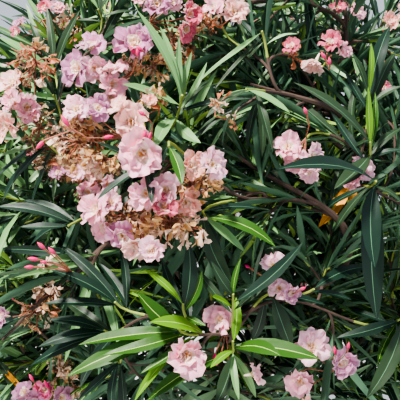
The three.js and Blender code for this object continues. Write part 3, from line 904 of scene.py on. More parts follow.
def plain_shoot(name, pixel, behind):
    """A plain shoot of the picture, which rises and leans outwards from the picture's middle."""
    middle = PHOTO_PIXELS / 2
    across, down = (place + PLAIN_LEAN * (middle - place) for place in pixel)
    return photo_shoot(name, pixel, (across, down + PLAIN_RISE), behind)


def nearest_mass(point):
    return min(mass_middles, key=lambda mass: np.linalg.norm(mass_middles[mass] - point))


def in_space(mass, point):
    """Whether a point is nearer to the mass's middle than to any other."""
    own = mass_middles[mass]
    for other in mass_middles.values():
        distance = np.linalg.norm(other - own)
        if distance > 0 and (point - own) @ (other - own) / distance > distance / 2 - SPACE_MARGIN:
            return False
    return True


def forks_of(curve, shares, radius):
    points, tangents = along(curve, shares)
    return [{"point": p, "tangent": t, "radius": radius} for p, t in zip(points, tangents)]


def fork_for(forks, tip):
    """The free fork from which a shoot grows: near its tip, and not bent far back from it."""
    best, best_cost = None, math.inf
    for fork in forks:
        aim = tip - fork["point"]
        length = np.linalg.norm(aim)
        cosine = aim @ fork["tangent"] / length
        cost = length * (1 + BENT_BACK_COST * (1 - cosine))
        if cosine > LEAST_FORK_COSINE and cost < best_cost:
            best, best_cost = fork, cost
    return best


def twig_curve(mass, fork, tip, way):
    """A twig's curve, straightened as far as it takes to stay in the mass's space."""
    chord = unit(tip - fork["point"])
    for bend in (1, 0.5, 0):
        start_way = unit(chord + FORK_BEND * bend * (fork["tangent"] - chord))
        curve = curve_between(fork["point"], start_way, tip, unit(chord + bend * (way - chord)))
        if bend == 0 or (in_space(mass, curve[1]) and in_space(mass, curve[2])):
            return curve


def add_tube(heap, curve, radii, sides, finishes):
    """Adds a tube to a heap, with a finish for each of its steps."""
    corners, triangles, step_numbers = tube_along(curve, radii, sides)
    heap.add(corners, triangles, np.array(finishes)[step_numbers])


# Old twigs are dull brown wood. Young ones are still green, with a waxy skin.
brown_twig, shader = new_material("old oleander twig", "#4A3A33", 0.8, 1.45)
place = add_node(brown_twig, "ShaderNodeTexCoord", {}, {}).outputs["Object"]
fibres = add_node(brown_twig, "ShaderNodeTexNoise", {"Scale": 400, "Detail": 4}, {"Vector": place})
roughened = add_node(
    brown_twig,
    "ShaderNodeBump",
    {"Strength": 0.5, "Distance": 0.0004},
    {"Height": fibres.outputs["Fac"]},
)
drive(brown_twig, shader, "Normal", roughened.outputs["Normal"])

green_twig, shader = new_material("young oleander twig", "#8A9A45", 0.5, 1.45)
place = add_node(green_twig, "ShaderNodeTexCoord", {}, {}).outputs["Object"]
wax = add_node(green_twig, "ShaderNodeTexNoise", {"Scale": 300, "Detail": 2}, {"Vector": place})
dulled = add_node(
    green_twig,
    "ShaderNodeMapRange",
    {"To Min": 0.4, "To Max": 0.6},
    {"Value": wax.outputs["Fac"]},
)
drive(green_twig, shader, "Roughness", dulled.outputs["Result"])

shoots = [photo_shoot(name, **sizes) for name, sizes in PHOTO_LIMBS.items()]
shoots += [spread_shoot(index) for index in range(MODEL_SHOOTS)]
shoots += [photo_shoot(name, **sizes) for name, sizes in PHOTO_SHOOTS.items()]
for kind, lot in PLAIN_SHOOTS.items():
    for i, pixel in enumerate(lot["pixels"]):
        shoots.append(plain_shoot(f"{kind}_{i}", pixel, lot["behind"]))
shoots += [spread_shoot(index) for index in range(MODEL_SHOOTS, SHOOT_COUNT + INNER_SHOOT_COUNT)]

grown = {}
for mass, middle in mass_middles.items():
    bough_end, bough_way = at_share(limb_curves[mass], 1)
    hub = bough_end + MASS_STEM_SHARE * (middle - bough_end)
    mass_stem = curve_between(bough_end, bough_way, hub, bough_way)
    forks = forks_of(mass_stem, STEM_FORKS, FIRST_TWIG_RADIUS)
    heap = Heap()
    radii = np.linspace(BOUGH_RADIUS_AT_TIP, MASS_STEM_TIP_RADIUS, TWIG_STEPS + 1)
    add_tube(heap, mass_stem, radii, TWIG_SIDES, ALL_BROWN)
    grown[mass] = []
    for number, shoot in enumerate(shoots):
        if nearest_mass(shoot["tip"]) != mass:
            continue
        fork = fork_for(forks, shoot["tip"])
        if fork is None or not (shoot["in_photo"] or in_space(mass, shoot["tip"])):
            continue
        if shoot["radius"]:
            foot_radius = shoot["radius"]
            tip_radius = LIMB_TIP_SHARE * foot_radius
            halfway = unit(unit(shoot["passes"] - fork["point"]) + shoot["way"])
            inner_part = twig_curve(mass, fork, shoot["passes"], halfway)
            add_tube(heap, inner_part, [foot_radius] * (TWIG_STEPS + 1), TWIG_SIDES, ALL_BROWN)
            curve = curve_between(shoot["passes"], halfway, shoot["tip"], shoot["way"])
        else:
            foot_radius = fork["radius"]
            tip_radius = TWIG_TIP_RADIUS
            curve = twig_curve(mass, fork, shoot["tip"], shoot["way"])
        radii = np.linspace(foot_radius, tip_radius, TWIG_STEPS + 1)
        add_tube(heap, curve, radii, TWIG_SIDES, ALL_BROWN if shoot["radius"] else GREEN_AT_TIP)
        forks = [other for other in forks if other is not fork]
        thinner = max(TWIG_THINNING * min(foot_radius, FIRST_TWIG_RADIUS), LEAST_TWIG_RADIUS)
        forks += forks_of(curve, TWIG_FORKS, thinner)
        grown[mass].append({**shoot, "curve": curve, "number": number})
    twig_mesh = heap.mesh(f"twigs_{mass}", TWIG_SHARP_ANGLE)
    new_piece(f"twigs_{mass}", twig_mesh, [brown_twig, green_twig], [f"foliage_{mass}"])

# Blossom
# Forked red-brown stalks end in slim magenta buds, semi-double blooms of three rings of ruffled
# petals round an apricot throat, and blooms that have withered to brown and hang on.
BLOOM_TUBE = 0.015
BLOOM_THROAT = 0.0024
TUBE_FOOT_RADIUS = 0.0016
TUBE_TOP_RADIUS = 0.0032
TUBE_SIDES = 7
PETAL_THICKNESS = 0.00025
PETAL_OUTLINE = [0.16, 0.26, 0.5, 0.8, 0.98, 1, 0.78]
# The rings of petals from the outermost in. A petal leaves the throat and ends at these angles.
PETAL_RINGS = [
    {"petals": 5, "length": 0.027, "half_width": 0.0140, "opens": (34, 84), "rows": 5, "strips": 6},
    {"petals": 5, "length": 0.0205, "half_width": 0.0100, "opens": (22, 62), "rows": 4, "strips": 4},
    {"petals": 4, "length": 0.0115, "half_width": 0.0046, "opens": (-6, 36), "rows": 3, "strips": 2},
]
# Away from the photograph's own trusses, petals have fewer faces: a ring's rows and strips.
PLAIN_GRIDS = [{"rows": 3, "strips": 3}, {"rows": 2, "strips": 3}, {"rows": 2, "strips": 1}]
RING_SHIFT = 0.5
THROAT_LENGTH = 0.0062
BLUSH_LENGTH = 0.0112
PETAL_BEND = 0.6
WAVES_PER_STRIP = 0.25
PETAL_CUP = 0.1
PETAL_ROUNDING = 0.16
NOTCH_DEPTH = 0.05
NOTCHES = 4.5
PETAL_SKEW = (-0.15, 0.15)
PETAL_ROLL = 16
PETAL_MERGE_DISTANCE = 1e-6
PETAL_SHARP_ANGLE = 70
# What varies from bloom to bloom and from petal to petal.
BLOOM_SHAPES = 10
BLOOM_OPENNESS = (-18, 12)
PETAL_SHIFT = (-0.2, 0.2)
PETAL_TILT = (-31, 31)
PETAL_LENGTHS = (0.82, 1.16)
PETAL_WIDTHS = (0.72, 1.18)
PETAL_RUFFLES = (0.0024, 0.0056)
# A withered bloom's petals: narrow, short, curled in or out, and rolled up lengthwise.
WITHERED_RING = {"petals": 5, "length": 0.0108, "half_width": 0.0022, "rows": 2, "strips": 2}
WITHERED_SHAPES = 8
WITHERED_SHIFT = (0, 0.8)
WITHERED_LENGTHS = (0.6, 1.4)
WITHERED_WIDTHS = (0.7, 1.4)
WITHERED_LIFTS = (10, 30)
WITHERED_CURLS = (-60, 110)
WITHERED_RUFFLE = 0.004
WITHERED_ROLLS = (-40, 40)
WITHERED_SIZES = (0.6, 1.3)
WITHERED_MORE = 2.4
BUD_LENGTH = 0.017
BUD_RADIUS = 0.0029
BUD_PROFILE = [0.4, 0.6, 1, 0.95, 0.6, 0.08]
BUD_SIDES = 6
STALK_RADIUS = 0.0008
STALK_PROFILE = [1.2, 1, 1, 1.5]
STALK_SIDES = 4
# A truss of the model's rule: its branches, the stalks on them, and what the stalks bear.
TRUSS_BRANCHES = 3
BRANCH_LENGTH = 0.022
BRANCH_LENGTHS = (0.7, 1.3)
BRANCH_ANGLES = (24, 54)
BRANCH_SHIFT = (0, 40)
LEAST_STALKS = 2
PEDICEL_LENGTH = 0.011
PEDICEL_LENGTHS = (0.7, 1.5)
PEDICEL_ANGLES = (30, 75)
PEDICEL_UPTURN = 0.25
BLOOM_SHARE = 0.4
BLOOM_OR_BUD_SHARE = 0.72
BLOOM_SIZES = (0.78, 1.05)
BUD_LENGTHS = (0.5, 1.1)
WITHERED_DROOP = 0.6
# The photograph's own trusses: how much nearer than their fork blooms and buds are, how much
# deeper withered blooms are, and how those spread.
BLOOM_NEARER = (0.02, 0.04)
THROAT_DEPTH = 0.006
BUD_NEARER = (0.03, 0.045)
BUD_TIP_NEARER = 0.003
WITHERED_FORK_DEEPER = 0.005
WITHERED_DEEPER = (-0.022, 0.008)
WITHERED_ANGLES = (0, 70)
WITHERED_HANG = 0.3
WITHERED_GUARD_NEARER = 0.01
WITHERED_GUARD_SHARE = 0.6
GUARD_RADIUS_BLOOM = 17
GUARD_RADIUS_BUD = 8
GUARD_RADIUS_LIMB = 5
LIMB_GUARD_SHARES = [0.25, 0.4, 0.55, 0.7, 0.85]
THROAT, BLUSH = 0, 1

# The trusses that the photograph shows. A bloom is given by its pixel, the way it faces (to the
# right, up, and towards the eye) and its colour, a bud by the pixels of its two ends, and
# withered blooms by a pixel, how many pixels they spread from it, how many, and their colour.
# Of the bloom colours, lilac is painted shade and rose is partly so.
PHOTO_TRUSSES = {
    "shade_lilac_truss": {
        "blooms": [
            ((77, 68), (-0.4, -0.1, 0.9), "lilac", 0.88),
            ((95, 68), (0.3, -0.3, 0.8), "rose", 0.7),
            ((92, 45), (-0.1, 0.6, 0.6), "lilac", 0.76),
            ((134, 42), (0.1, 0.2, 0.9), "lilac", 1.05),
            ((112, 70), (0, 0.85, 0.4), "pink", 0.72),
            ((113, 84), (0.4, -0.1, 0.8), "pink", 0.72),
            ((111, 99), (0, -0.7, 0.6), "shell", 0.66),
        ],
        "buds": [((136, 55), (129, 45)), ((144, 52), (136, 46)), ((138, 58), (137, 48))],
        "withered": [((154, 66), 14, 6, "tan"), ((126, 62), 8, 3, "russet")],
    },
    "edge_truss": {
        "blooms": [
            ((12, 82), (-0.2, 0.3, 0.9), "shell", 0.74),
            ((12, 102), (-0.5, 0.2, 0.8), "pink", 0.7),
            ((27, 108), (0.4, -0.1, 0.9), "pink", 0.82),
            ((6, 128), (-0.4, -0.1, 0.8), "salmon", 0.82),
        ],
        "buds": [],
        "withered": [((36, 62), 20, 9, "russet"), ((40, 128), 18, 8, "brown")],
    },
    "shell_truss": {
        "blooms": [
            ((76, 109), (-0.1, 0.3, 0.9), "rose", 0.68),
            ((98, 108), (0.2, 0.2, 0.8), "lilac", 0.62),
        ],
        "buds": [((70, 128), (61, 115)), ((45, 140), (36, 149)), ((102, 138), (114, 136))],
        "withered": [
            ((80, 142), 24, 16, "tan"),
            ((104, 158), 16, 8, "tan"),
            ((92, 124), 14, 6, "brown"),
        ],
    },
    "front_truss": {
        "blooms": [
            ((131, 122), (-0.1, 0.1, 0.95), "shell", 0.86),
            ((142, 154), (0.05, -0.25, 0.95), "pink", 1.04),
            ((120, 108), (-0.6, 0.6, 0.5), "shell", 0.6),
        ],
        "buds": [((147, 143), (151, 132)), ((146, 116), (138, 111)), ((143, 140), (146, 130))],
        "withered": [],
    },
    "high_withered": {
        "blooms": [((149, 102), (0.2, 0.5, 0.7), "salmon", 0.4)],
        "buds": [],
        "withered": [((152, 100), 8, 3, "tan")],
    },
    "small_withered": {
        "blooms": [],
        "buds": [],
        "withered": [((216, 102), 5, 2, "russet"), ((234, 122), 4, 1, "tan")],
    },
    "tiny_withered": {
        "blooms": [((291, 46), (-0.2, 0.4, 0.8), "coral", 0.5)],
        "buds": [],
        "withered": [((292, 56), 6, 2, "russet")],
    },
    "left_truss": {
        "blooms": [((3, 316), (-0.4, 0.2, 0.8), "lilac", 0.6)],
        "buds": [((14, 300), (9, 294))],
        "withered": [((50, 290), 9, 4, "buff"), ((38, 312), 16, 6, "brown")],
    },
    "shade_truss": {
        "blooms": [
            ((58, 172), (-0.3, 0.3, 0.8), "lilac", 0.55),
            ((76, 174), (0.1, 0.4, 0.8), "rose", 0.6),
            ((92, 172), (0.5, 0.1, 0.8), "shell", 0.62),
            ((88, 192), (0, 0.3, 0.9), "pink", 0.62),
            ((34, 152), (-0.5, -0.4, 0.6), "coral", 0.45),
            ((108, 184), (0.4, -0.2, 0.8), "rose", 0.55),
        ],
        "buds": [],
        "withered": [
            ((64, 156), 26, 18, "brown"),
            ((112, 166), 14, 6, "tan"),
            ((92, 182), 14, 4, "brown"),
        ],
    },
    "heart_truss": {
        "blooms": [
            ((96, 210), (-0.4, 0.2, 0.8), "pink", 0.78),
            ((104, 227), (-0.5, -0.4, 0.7), "pink", 0.8),
            ((122, 236), (-0.1, -0.3, 0.9), "lilac", 0.72),
            ((135, 246), (-0.2, -0.5, 0.8), "shell", 0.66),
            ((141, 203), (0, 0.4, 0.8), "rose", 0.55),
            ((112, 202), (0.2, 0.5, 0.7), "rose", 0.55),
        ],
        "buds": [],
        "withered": [((124, 214), 16, 8, "brown"), ((140, 222), 18, 9, "tan")],
    },
    "sunlit_truss": {
        "blooms": [
            ((152, 251), (0, 0.2, 0.95), "rose", 0.66),
            ((146, 194), (-0.1, 0.2, 0.9), "pink", 0.7),
            ((163, 206), (0.1, 0.3, 0.8), "coral", 0.62),
        ],
        "buds": [],
        "withered": [((170, 222), 20, 9, "tan"), ((190, 228), 14, 4, "buff")],
    },
    "warm_truss": {
        "blooms": [
            ((192, 166), (0.4, 0.1, 0.8), "salmon", 0.66),
            ((166, 190), (-0.2, 0, 0.9), "rose", 0.74),
            ((186, 203), (0.2, -0.2, 0.9), "salmon", 0.72),
            ((212, 164), (0.5, 0.2, 0.7), "rose", 0.74),
        ],
        "buds": [],
        "withered": [((190, 186), 16, 7, "tan"), ((204, 182), 10, 3, "tan")],
    },
    "right_truss": {
        "blooms": [
            ((288, 147), (-0.2, 0.3, 0.9), "pink", 0.72),
            ((296, 160), (-0.2, -0.4, 0.9), "pink", 0.6),
            ((313, 158), (0.3, 0, 0.9), "rose", 0.7),
            ((308, 172), (0, -0.6, 0.7), "rose", 0.55),
        ],
        "buds": [((307, 115), (304, 107))],
        "withered": [],
    },
    "hidden_truss": {
        "blooms": [
            ((362, 168), (0.2, 0.2, 0.9), "rose", 0.76),
            ((352, 178), (-0.3, -0.4, 0.8), "pink", 0.62),
        ],
        "buds": [],
        "withered": [],
    },
    "salmon_truss": {
        "blooms": [
            ((330, 42), (0, 0.5, 0.8), "coral", 0.68),
            ((343, 51), (0.6, 0.1, 0.7), "pink", 0.5),
            ((315, 63), (-0.4, -0.8, 0.2), "shell", 0.7),
        ],
        "buds": [((326, 60), (321, 52)), ((330, 66), (329, 57))],
        "withered": [],
    },
    "high_truss": {
        "blooms": [
            ((157, 4), (0.1, 0.1, 0.95), "lilac", 0.9),
            ((144, -2), (-0.3, 0.2, 0.9), "pink", 0.7),
            ((172, 2), (0.4, 0.2, 0.8), "rose", 0.62),
            ((190, 14), (0.5, 0, 0.8), "coral", 0.66),
            ((186, 30), (0.4, -0.4, 0.8), "coral", 0.6),
        ],
        "buds": [],
        "withered": [((178, 44), 10, 4, "russet"), ((184, 60), 8, 3, "tan")],
    },
    "high_right_truss": {
        "blooms": [
            ((234, 12), (0.1, 0, 0.95), "shell", 0.78),
            ((214, 7), (-0.4, 0.3, 0.8), "pink", 0.62),
        ],
        "buds": [],
        "withered": [((206, 26), 9, 4, "russet")],
    },
    "far_right_truss": {
        "blooms": [
            ((389, 22), (0.1, 0.3, 0.9), "salmon", 0.6),
            ((404, 14), (0.4, 0.4, 0.8), "salmon", 0.7),
            ((384, 88), (-0.3, 0.2, 0.8), "coral", 0.4),
        ],
        "buds": [],
        "withered": [],
    },
    "low_truss": {
        "blooms": [
            ((312, 348), (-0.2, 0.3, 0.9), "rose", 0.98),
            ((342, 363), (0.3, -0.1, 0.9), "lilac", 0.92),
            ((300, 381), (-0.2, -0.3, 0.9), "pink", 0.84),
            ((311, 404), (0, -0.4, 0.8), "salmon", 0.6),
        ],
        "buds": [((336, 356), (334, 346)), ((348, 350), (349, 342))],
        "withered": [],
    },
    "twin_truss": {
        "blooms": [
            ((273, 266), (-0.1, 0.5, 0.8), "rose", 0.66),
            ((279, 288), (-0.2, 0.1, 0.9), "rose", 0.55),
            ((291, 293), (0.4, -0.3, 0.8), "lilac", 0.62),
        ],
        "buds": [((250, 268), (245, 265)), ((300, 290), (306, 287))],
        "withered": [],
    },
    "half_hidden_truss": {
        "blooms": [
            ((220, 319), (-0.5, 0.1, 0.8), "pink", 0.78),
            ((254, 374), (0.9, 0.2, 0.2), "pink", 0.6),
        ],
        "buds": [((216, 352), (213, 362)), ((220, 356), (216, 366))],
        "withered": [],
    },
    "open_truss": {
        "blooms": [((187, 355), (0.1, 0, 0.97), "pink", 1)],
        "buds": [],
        "withered": [],
    },
    "magenta_truss": {
        "blooms": [
            ((24, 392), (-0.3, 0.3, 0.9), "lilac", 0.7),
            ((45, 390), (0.1, 0.1, 0.9), "magenta", 0.66),
            ((62, 398), (0.4, 0.1, 0.8), "lilac", 0.7),
            ((34, 402), (-0.2, -0.1, 0.9), "lilac", 0.8),
        ],
        "buds": [((34, 382), (29, 374)), ((50, 390), (44, 380)), ((40, 392), (34, 384))],
        "withered": [((58, 374), 16, 7, "tan"), ((76, 386), 8, 3, "buff")],
    },
    "bud_truss": {
        "blooms": [],
        "buds": [
            ((46, 250), (37, 242)),
            ((56, 255), (48, 247)),
            ((40, 260), (27, 258)),
            ((35, 267), (24, 267)),
            ((48, 262), (40, 262)),
        ],
        "withered": [((46, 264), 4, 1, "tan")],
    },
    "distant_truss": {
        "blooms": [
            ((44, 8), (-0.2, 0.4, 0.8), "coral", 0.55),
            ((58, 8), (0.2, 0.4, 0.8), "pink", 0.55),
            ((20, 24), (-0.5, 0.4, 0.7), "lilac", 0.5),
            ((16, 32), (-0.2, 0.1, 0.8), "coral", 0.4),
        ],
        "buds": [((52, 32), (50, 24))],
        "withered": [((64, 20), 12, 6, "russet"), ((76, 34), 8, 3, "tan")],
    },
    "shaded_truss": {
        "blooms": [
            ((337, 8), (-0.1, 0.4, 0.8), "coral", 0.6),
            ((357, 12), (0.3, 0.2, 0.8), "pink", 0.55),
        ],
        "buds": [],
        "withered": [],
    },
}


def aside(tangent, angle, turn):
    """A way that leaves a tangent at an angle, turned round it."""
    flat = math.hypot(tangent[0], tangent[1])
    side = np.array([tangent[1], -tangent[0], 0]) / flat if flat > 1e-6 else RIGHT
    turn = math.radians(turn)
    side = math.cos(turn) * side + math.sin(turn) * np.cross(tangent, side)
    return math.cos(math.radians(angle)) * tangent + math.sin(math.radians(angle)) * side


def flower_axes(facing, turn):
    """Two ways across a flower and the way it faces, as the rows of a matrix."""
    across = aside(facing, 90, turn)
    return np.array([across, np.cross(facing, across), facing])


def add_petal(bm, azimuth, length, half_width, opens, rows, strips, ruffle, roll, random):
    """A ruffled petal: it leaves the throat steeply, widens and bends outwards."""
    shares = [(row / rows) ** PETAL_BEND for row in range(rows)]
    lift = [math.radians(opens[0] + (opens[1] - opens[0]) * share) for share in shares]
    run = [BLOOM_THROAT]
    rise = [0]
    for angle in lift:
        run.append(run[-1] + length / rows * math.sin(angle))
        rise.append(rise[-1] + length / rows * math.cos(angle))
    phase = math.tau * next(random)
    waves = WAVES_PER_STRIP * strips + next(random)
    skew = between(PETAL_SKEW, random)
    for side in (1, -1):
        sheet = bmesh.ops.create_grid(bm, x_segments=rows, y_segments=strips, size=1)
        faces = list({face for vert in sheet["verts"] for face in vert.link_faces})
        for face in faces:
            out = length * (face.calc_center_median().x + 1) / 2
            face.material_index = (out > THROAT_LENGTH) + (out > BLUSH_LENGTH)
        if side < 0:
            bmesh.ops.reverse_faces(bm, faces=faces)
        for vert in sheet["verts"]:
            u = (vert.co.x + 1) / 2
            v = vert.co.y
            row = round(u * rows)
            angle = lift[min(row, rows - 1)]
            half = half_width * np.interp(u, np.linspace(0, 1, len(PETAL_OUTLINE)), PETAL_OUTLINE)
            across = half * (v + skew * u * (1 - v * v))
            bow = ruffle * u * u * math.sin(math.pi * waves * v + phase)
            bow += PETAL_CUP * half * (v * v - 0.4)
            bow += side * PETAL_THICKNESS * math.sin(math.pi * u) * (1 - v * v)
            bow += across * math.sin(math.radians(roll))
            across *= math.cos(math.radians(roll))
            notch = NOTCH_DEPTH * math.cos(NOTCHES * math.pi * v + phase)
            rounding = length * u**3 * (PETAL_ROUNDING * v * v - notch)
            out = run[row] - rounding * math.sin(angle) - bow * math.cos(angle)
            up = rise[row] - rounding * math.cos(angle) + bow * math.sin(angle)
            vert.co = Matrix.Rotation(azimuth, 3, "Z") @ Vector((out, across, up))


def bloom_shape(rings, random):
    """An open bloom whose throat is at the origin, facing +Z, with its tube behind it."""
    bm = bmesh.new()
    openness = between(BLOOM_OPENNESS, random)
    for number, ring in enumerate(rings):
        for petal in range(ring["petals"]):
            shift = RING_SHIFT * number + between(PETAL_SHIFT, random)
            tilt = openness + between(PETAL_TILT, random)
            add_petal(
                bm,
                math.tau * (petal + shift) / ring["petals"],
                ring["length"] * between(PETAL_LENGTHS, random),
                ring["half_width"] * between(PETAL_WIDTHS, random),
                (ring["opens"][0], ring["opens"][1] + tilt),
                ring["rows"],
                ring["strips"],
                between(PETAL_RUFFLES, random),
                PETAL_ROLL,
                random,
            )
    bmesh.ops.remove_doubles(bm, verts=bm.verts, dist=PETAL_MERGE_DISTANCE)
    behind_throat = Matrix.Translation((0, 0, -BLOOM_TUBE / 2))
    tube = bmesh.ops.create_cone(bm, cap_ends=True, segments=TUBE_SIDES, radius1=TUBE_FOOT_RADIUS,
                                 radius2=TUBE_TOP_RADIUS, depth=BLOOM_TUBE, matrix=behind_throat)
    bm.normal_update()
    for face in {face for vert in tube["verts"] for face in vert.link_faces}:
        faces_out = face.normal.z > 0.9
        face.material_index = THROAT if faces_out else BLUSH
    return arrays_of(bm)


def withered_shape(random):
    """A spent bloom: its petals have shrunk, curled in and stuck together."""
    bm = bmesh.new()
    ring = WITHERED_RING
    for petal in range(ring["petals"]):
        add_petal(
            bm,
            math.tau * (petal + between(WITHERED_SHIFT, random)) / ring["petals"],
            ring["length"] * between(WITHERED_LENGTHS, random),
            ring["half_width"] * between(WITHERED_WIDTHS, random),
            (between(WITHERED_LIFTS, random), between(WITHERED_CURLS, random)),
            ring["rows"],
            ring["strips"],
            WITHERED_RUFFLE,
            between(WITHERED_ROLLS, random),
            random,
        )
    bmesh.ops.remove_doubles(bm, verts=bm.verts, dist=PETAL_MERGE_DISTANCE)
    corners, triangles, finishes = arrays_of(bm)
    return corners, triangles, np.zeros_like(finishes)


def petal_finish(name, colour):
    """A petal: thin and silky, with light that passes a little way into it."""
    material, shader = new_material(name, colour, 0.5, 1.4)
    shader.inputs["Subsurface Weight"].default_value = 0.5
    shader.inputs["Subsurface Scale"].default_value = 0.004
    shader.inputs["Subsurface Radius"].default_value = (1, 0.6, 0.5)
    shader.inputs["Sheen Weight"].default_value = 0.15
    place = add_node(material, "ShaderNodeTexCoord", {}, {}).outputs["Object"]
    silk = add_node(material, "ShaderNodeTexNoise", {"Scale": 260, "Detail": 3}, {"Vector": place})
    creases = add_node(
        material,
        "ShaderNodeBump",
        {"Strength": 0.35, "Distance": 0.0006},
        {"Height": silk.outputs["Fac"]},
    )
    drive(material, shader, "Normal", creases.outputs["Normal"])
    return material


# Petals from an apricot throat through a pale blush to each bloom's pink; some pinks are painted
# shade.
blossom_materials = [
    petal_finish("apricot throat", "#FFD08E"),
    petal_finish("blush of the throat", "#FCDCCB"),
    petal_finish("shell pink petal", "#FFBEB6"),
    petal_finish("pale pink petal", "#FCA6BC"),
    petal_finish("salmon pink petal", "#FFAA9A"),
    # Lilac is the pink petal darkened and blued as painted shade.
    petal_finish("pink petal in painted blue shade", "#C0749C"),
    petal_finish("coral pink petal", "#D34C6C"),
    # Rose white is a real pale pink whose cool tint is painted shade.
    petal_finish("rose white petal, cooled as painted shade", "#FAB7CB"),
    petal_finish("magenta bud", "#CC1668"),
    petal_finish("red-brown stalk", "#8F5540"),
    petal_finish("withered petal, tan", "#D69A5A"),
    petal_finish("withered petal, russet", "#BC5C34"),
    petal_finish("withered petal, brown", "#5E3829"),
    petal_finish("withered petal, buff", "#F2C4A6"),
    petal_finish("magenta pink petal", "#DC4A86"),
]
# Lilac is painted shade on the pink, and rose white is partly so.
PINKS = {"shell": 2, "pink": 3, "salmon": 4, "lilac": 5, "coral": 6, "rose": 7, "magenta": 14}
BUD, STALK = 8, 9
BROWNS = {"tan": 10, "russet": 11, "brown": 12, "buff": 13}
OTHER_BROWNS = ["buff", "tan", "russet", "brown", "buff"]
OWN_BROWN_SHARE = 0.5
# Pinks dealt out at random, with painted shade among them.
SPREAD_PINKS = ["shell", "pink", "rose", "shell", "salmon", "lilac", "pink", "coral"]

shape_random = stream(61)
plain_rings = [{**ring, **grid} for ring, grid in zip(PETAL_RINGS, PLAIN_GRIDS)]
bloom_shapes = [bloom_shape(PETAL_RINGS, shape_random) for _ in range(BLOOM_SHAPES)]
plain_bloom_shapes = [bloom_shape(plain_rings, shape_random) for _ in range(BLOOM_SHAPES)]
withered_shapes = [withered_shape(shape_random) for _ in range(WITHERED_SHAPES)]


def add_stalk(heap, start, start_way, end, end_way):
    radii = STALK_RADIUS * np.array(STALK_PROFILE)
    finishes = [STALK] * (len(radii) - 1)
    add_tube(heap, curve_between(start, start_way, end, end_way), radii, STALK_SIDES, finishes)


def add_bloom(heap, shapes, throat, facing, colour, size, random):
    corners, triangles, finishes = shapes[int(next(random) * len(shapes))]
    placed = throat + size * corners @ flower_axes(facing, 360 * next(random))
    own_finishes = np.array([THROAT, BLUSH, PINKS[colour]])
    heap.add(placed, triangles, own_finishes[finishes])


def add_bud(heap, foot, tip):
    way = unit(tip - foot)
    radii = BUD_RADIUS * np.array(BUD_PROFILE) * (np.linalg.norm(tip - foot) / BUD_LENGTH) ** 0.5
    finishes = [STALK] + [BUD] * (len(radii) - 2)
    add_tube(heap, curve_between(foot, way, tip, way), radii, BUD_SIDES, finishes)


def add_withered(heap, foot, way, colour, random):
    corners, triangles, finishes = withered_shapes[int(next(random) * WITHERED_SHAPES)]
    size = between(WITHERED_SIZES, random)
    placed = foot + size * corners @ flower_axes(way, 360 * next(random))
    if next(random) > OWN_BROWN_SHARE:
        colour = OTHER_BROWNS[int(next(random) * len(OTHER_BROWNS))]
    heap.add(placed, triangles, finishes + BROWNS[colour])


def from_stalk(point, node):
    """The way from a truss's fork towards one of its flowers."""
    return unit(point - node + 1e-6 * UP)


def grow_truss(heap, shoot, random):
    """A truss at a shoot's tip, which forks into branches and those into single stalks."""
    tip, way = at_share(shoot["curve"], 1)
    for branch in range(TRUSS_BRANCHES):
        angle = between(BRANCH_ANGLES, random)
        turn = shoot["turn"] + 360 / TRUSS_BRANCHES * branch + between(BRANCH_SHIFT, random)
        lean = aside(way, angle, turn)
        fork = tip + BRANCH_LENGTH * between(BRANCH_LENGTHS, random) * lean
        add_stalk(heap, tip, unit(way + lean), fork, lean)
        for _ in range(LEAST_STALKS + int(2 * next(random))):
            stray = aside(lean, between(PEDICEL_ANGLES, random), 360 * next(random))
            stray = unit(stray + PEDICEL_UPTURN * UP)
            end = fork + PEDICEL_LENGTH * between(PEDICEL_LENGTHS, random) * stray
            add_stalk(heap, fork, lean, end, stray)
            kind = next(random)
            if kind < BLOOM_SHARE:
                facing = unit(stray + 0.5 * way)
                colour = SPREAD_PINKS[int(next(random) * len(SPREAD_PINKS))]
                size = between(BLOOM_SIZES, random)
                throat = end + BLOOM_TUBE * facing
                add_bloom(heap, plain_bloom_shapes, throat, facing, colour, size, random)
            elif kind < BLOOM_OR_BUD_SHARE:
                add_bud(heap, end, end + BUD_LENGTH * between(BUD_LENGTHS, random) * stray)
            else:
                add_withered(heap, end, unit(stray - WITHERED_DROOP * UP), "tan", random)


# What the other leaves keep clear of, each a pixel, its depth and how many pixels round it.
guards = []


def guard(point, radius):
    """Keeps a point from being hidden behind other leaves."""
    pixels, depths = pixels_of(point)
    guards.append((*pixels[0], depths[0], radius))


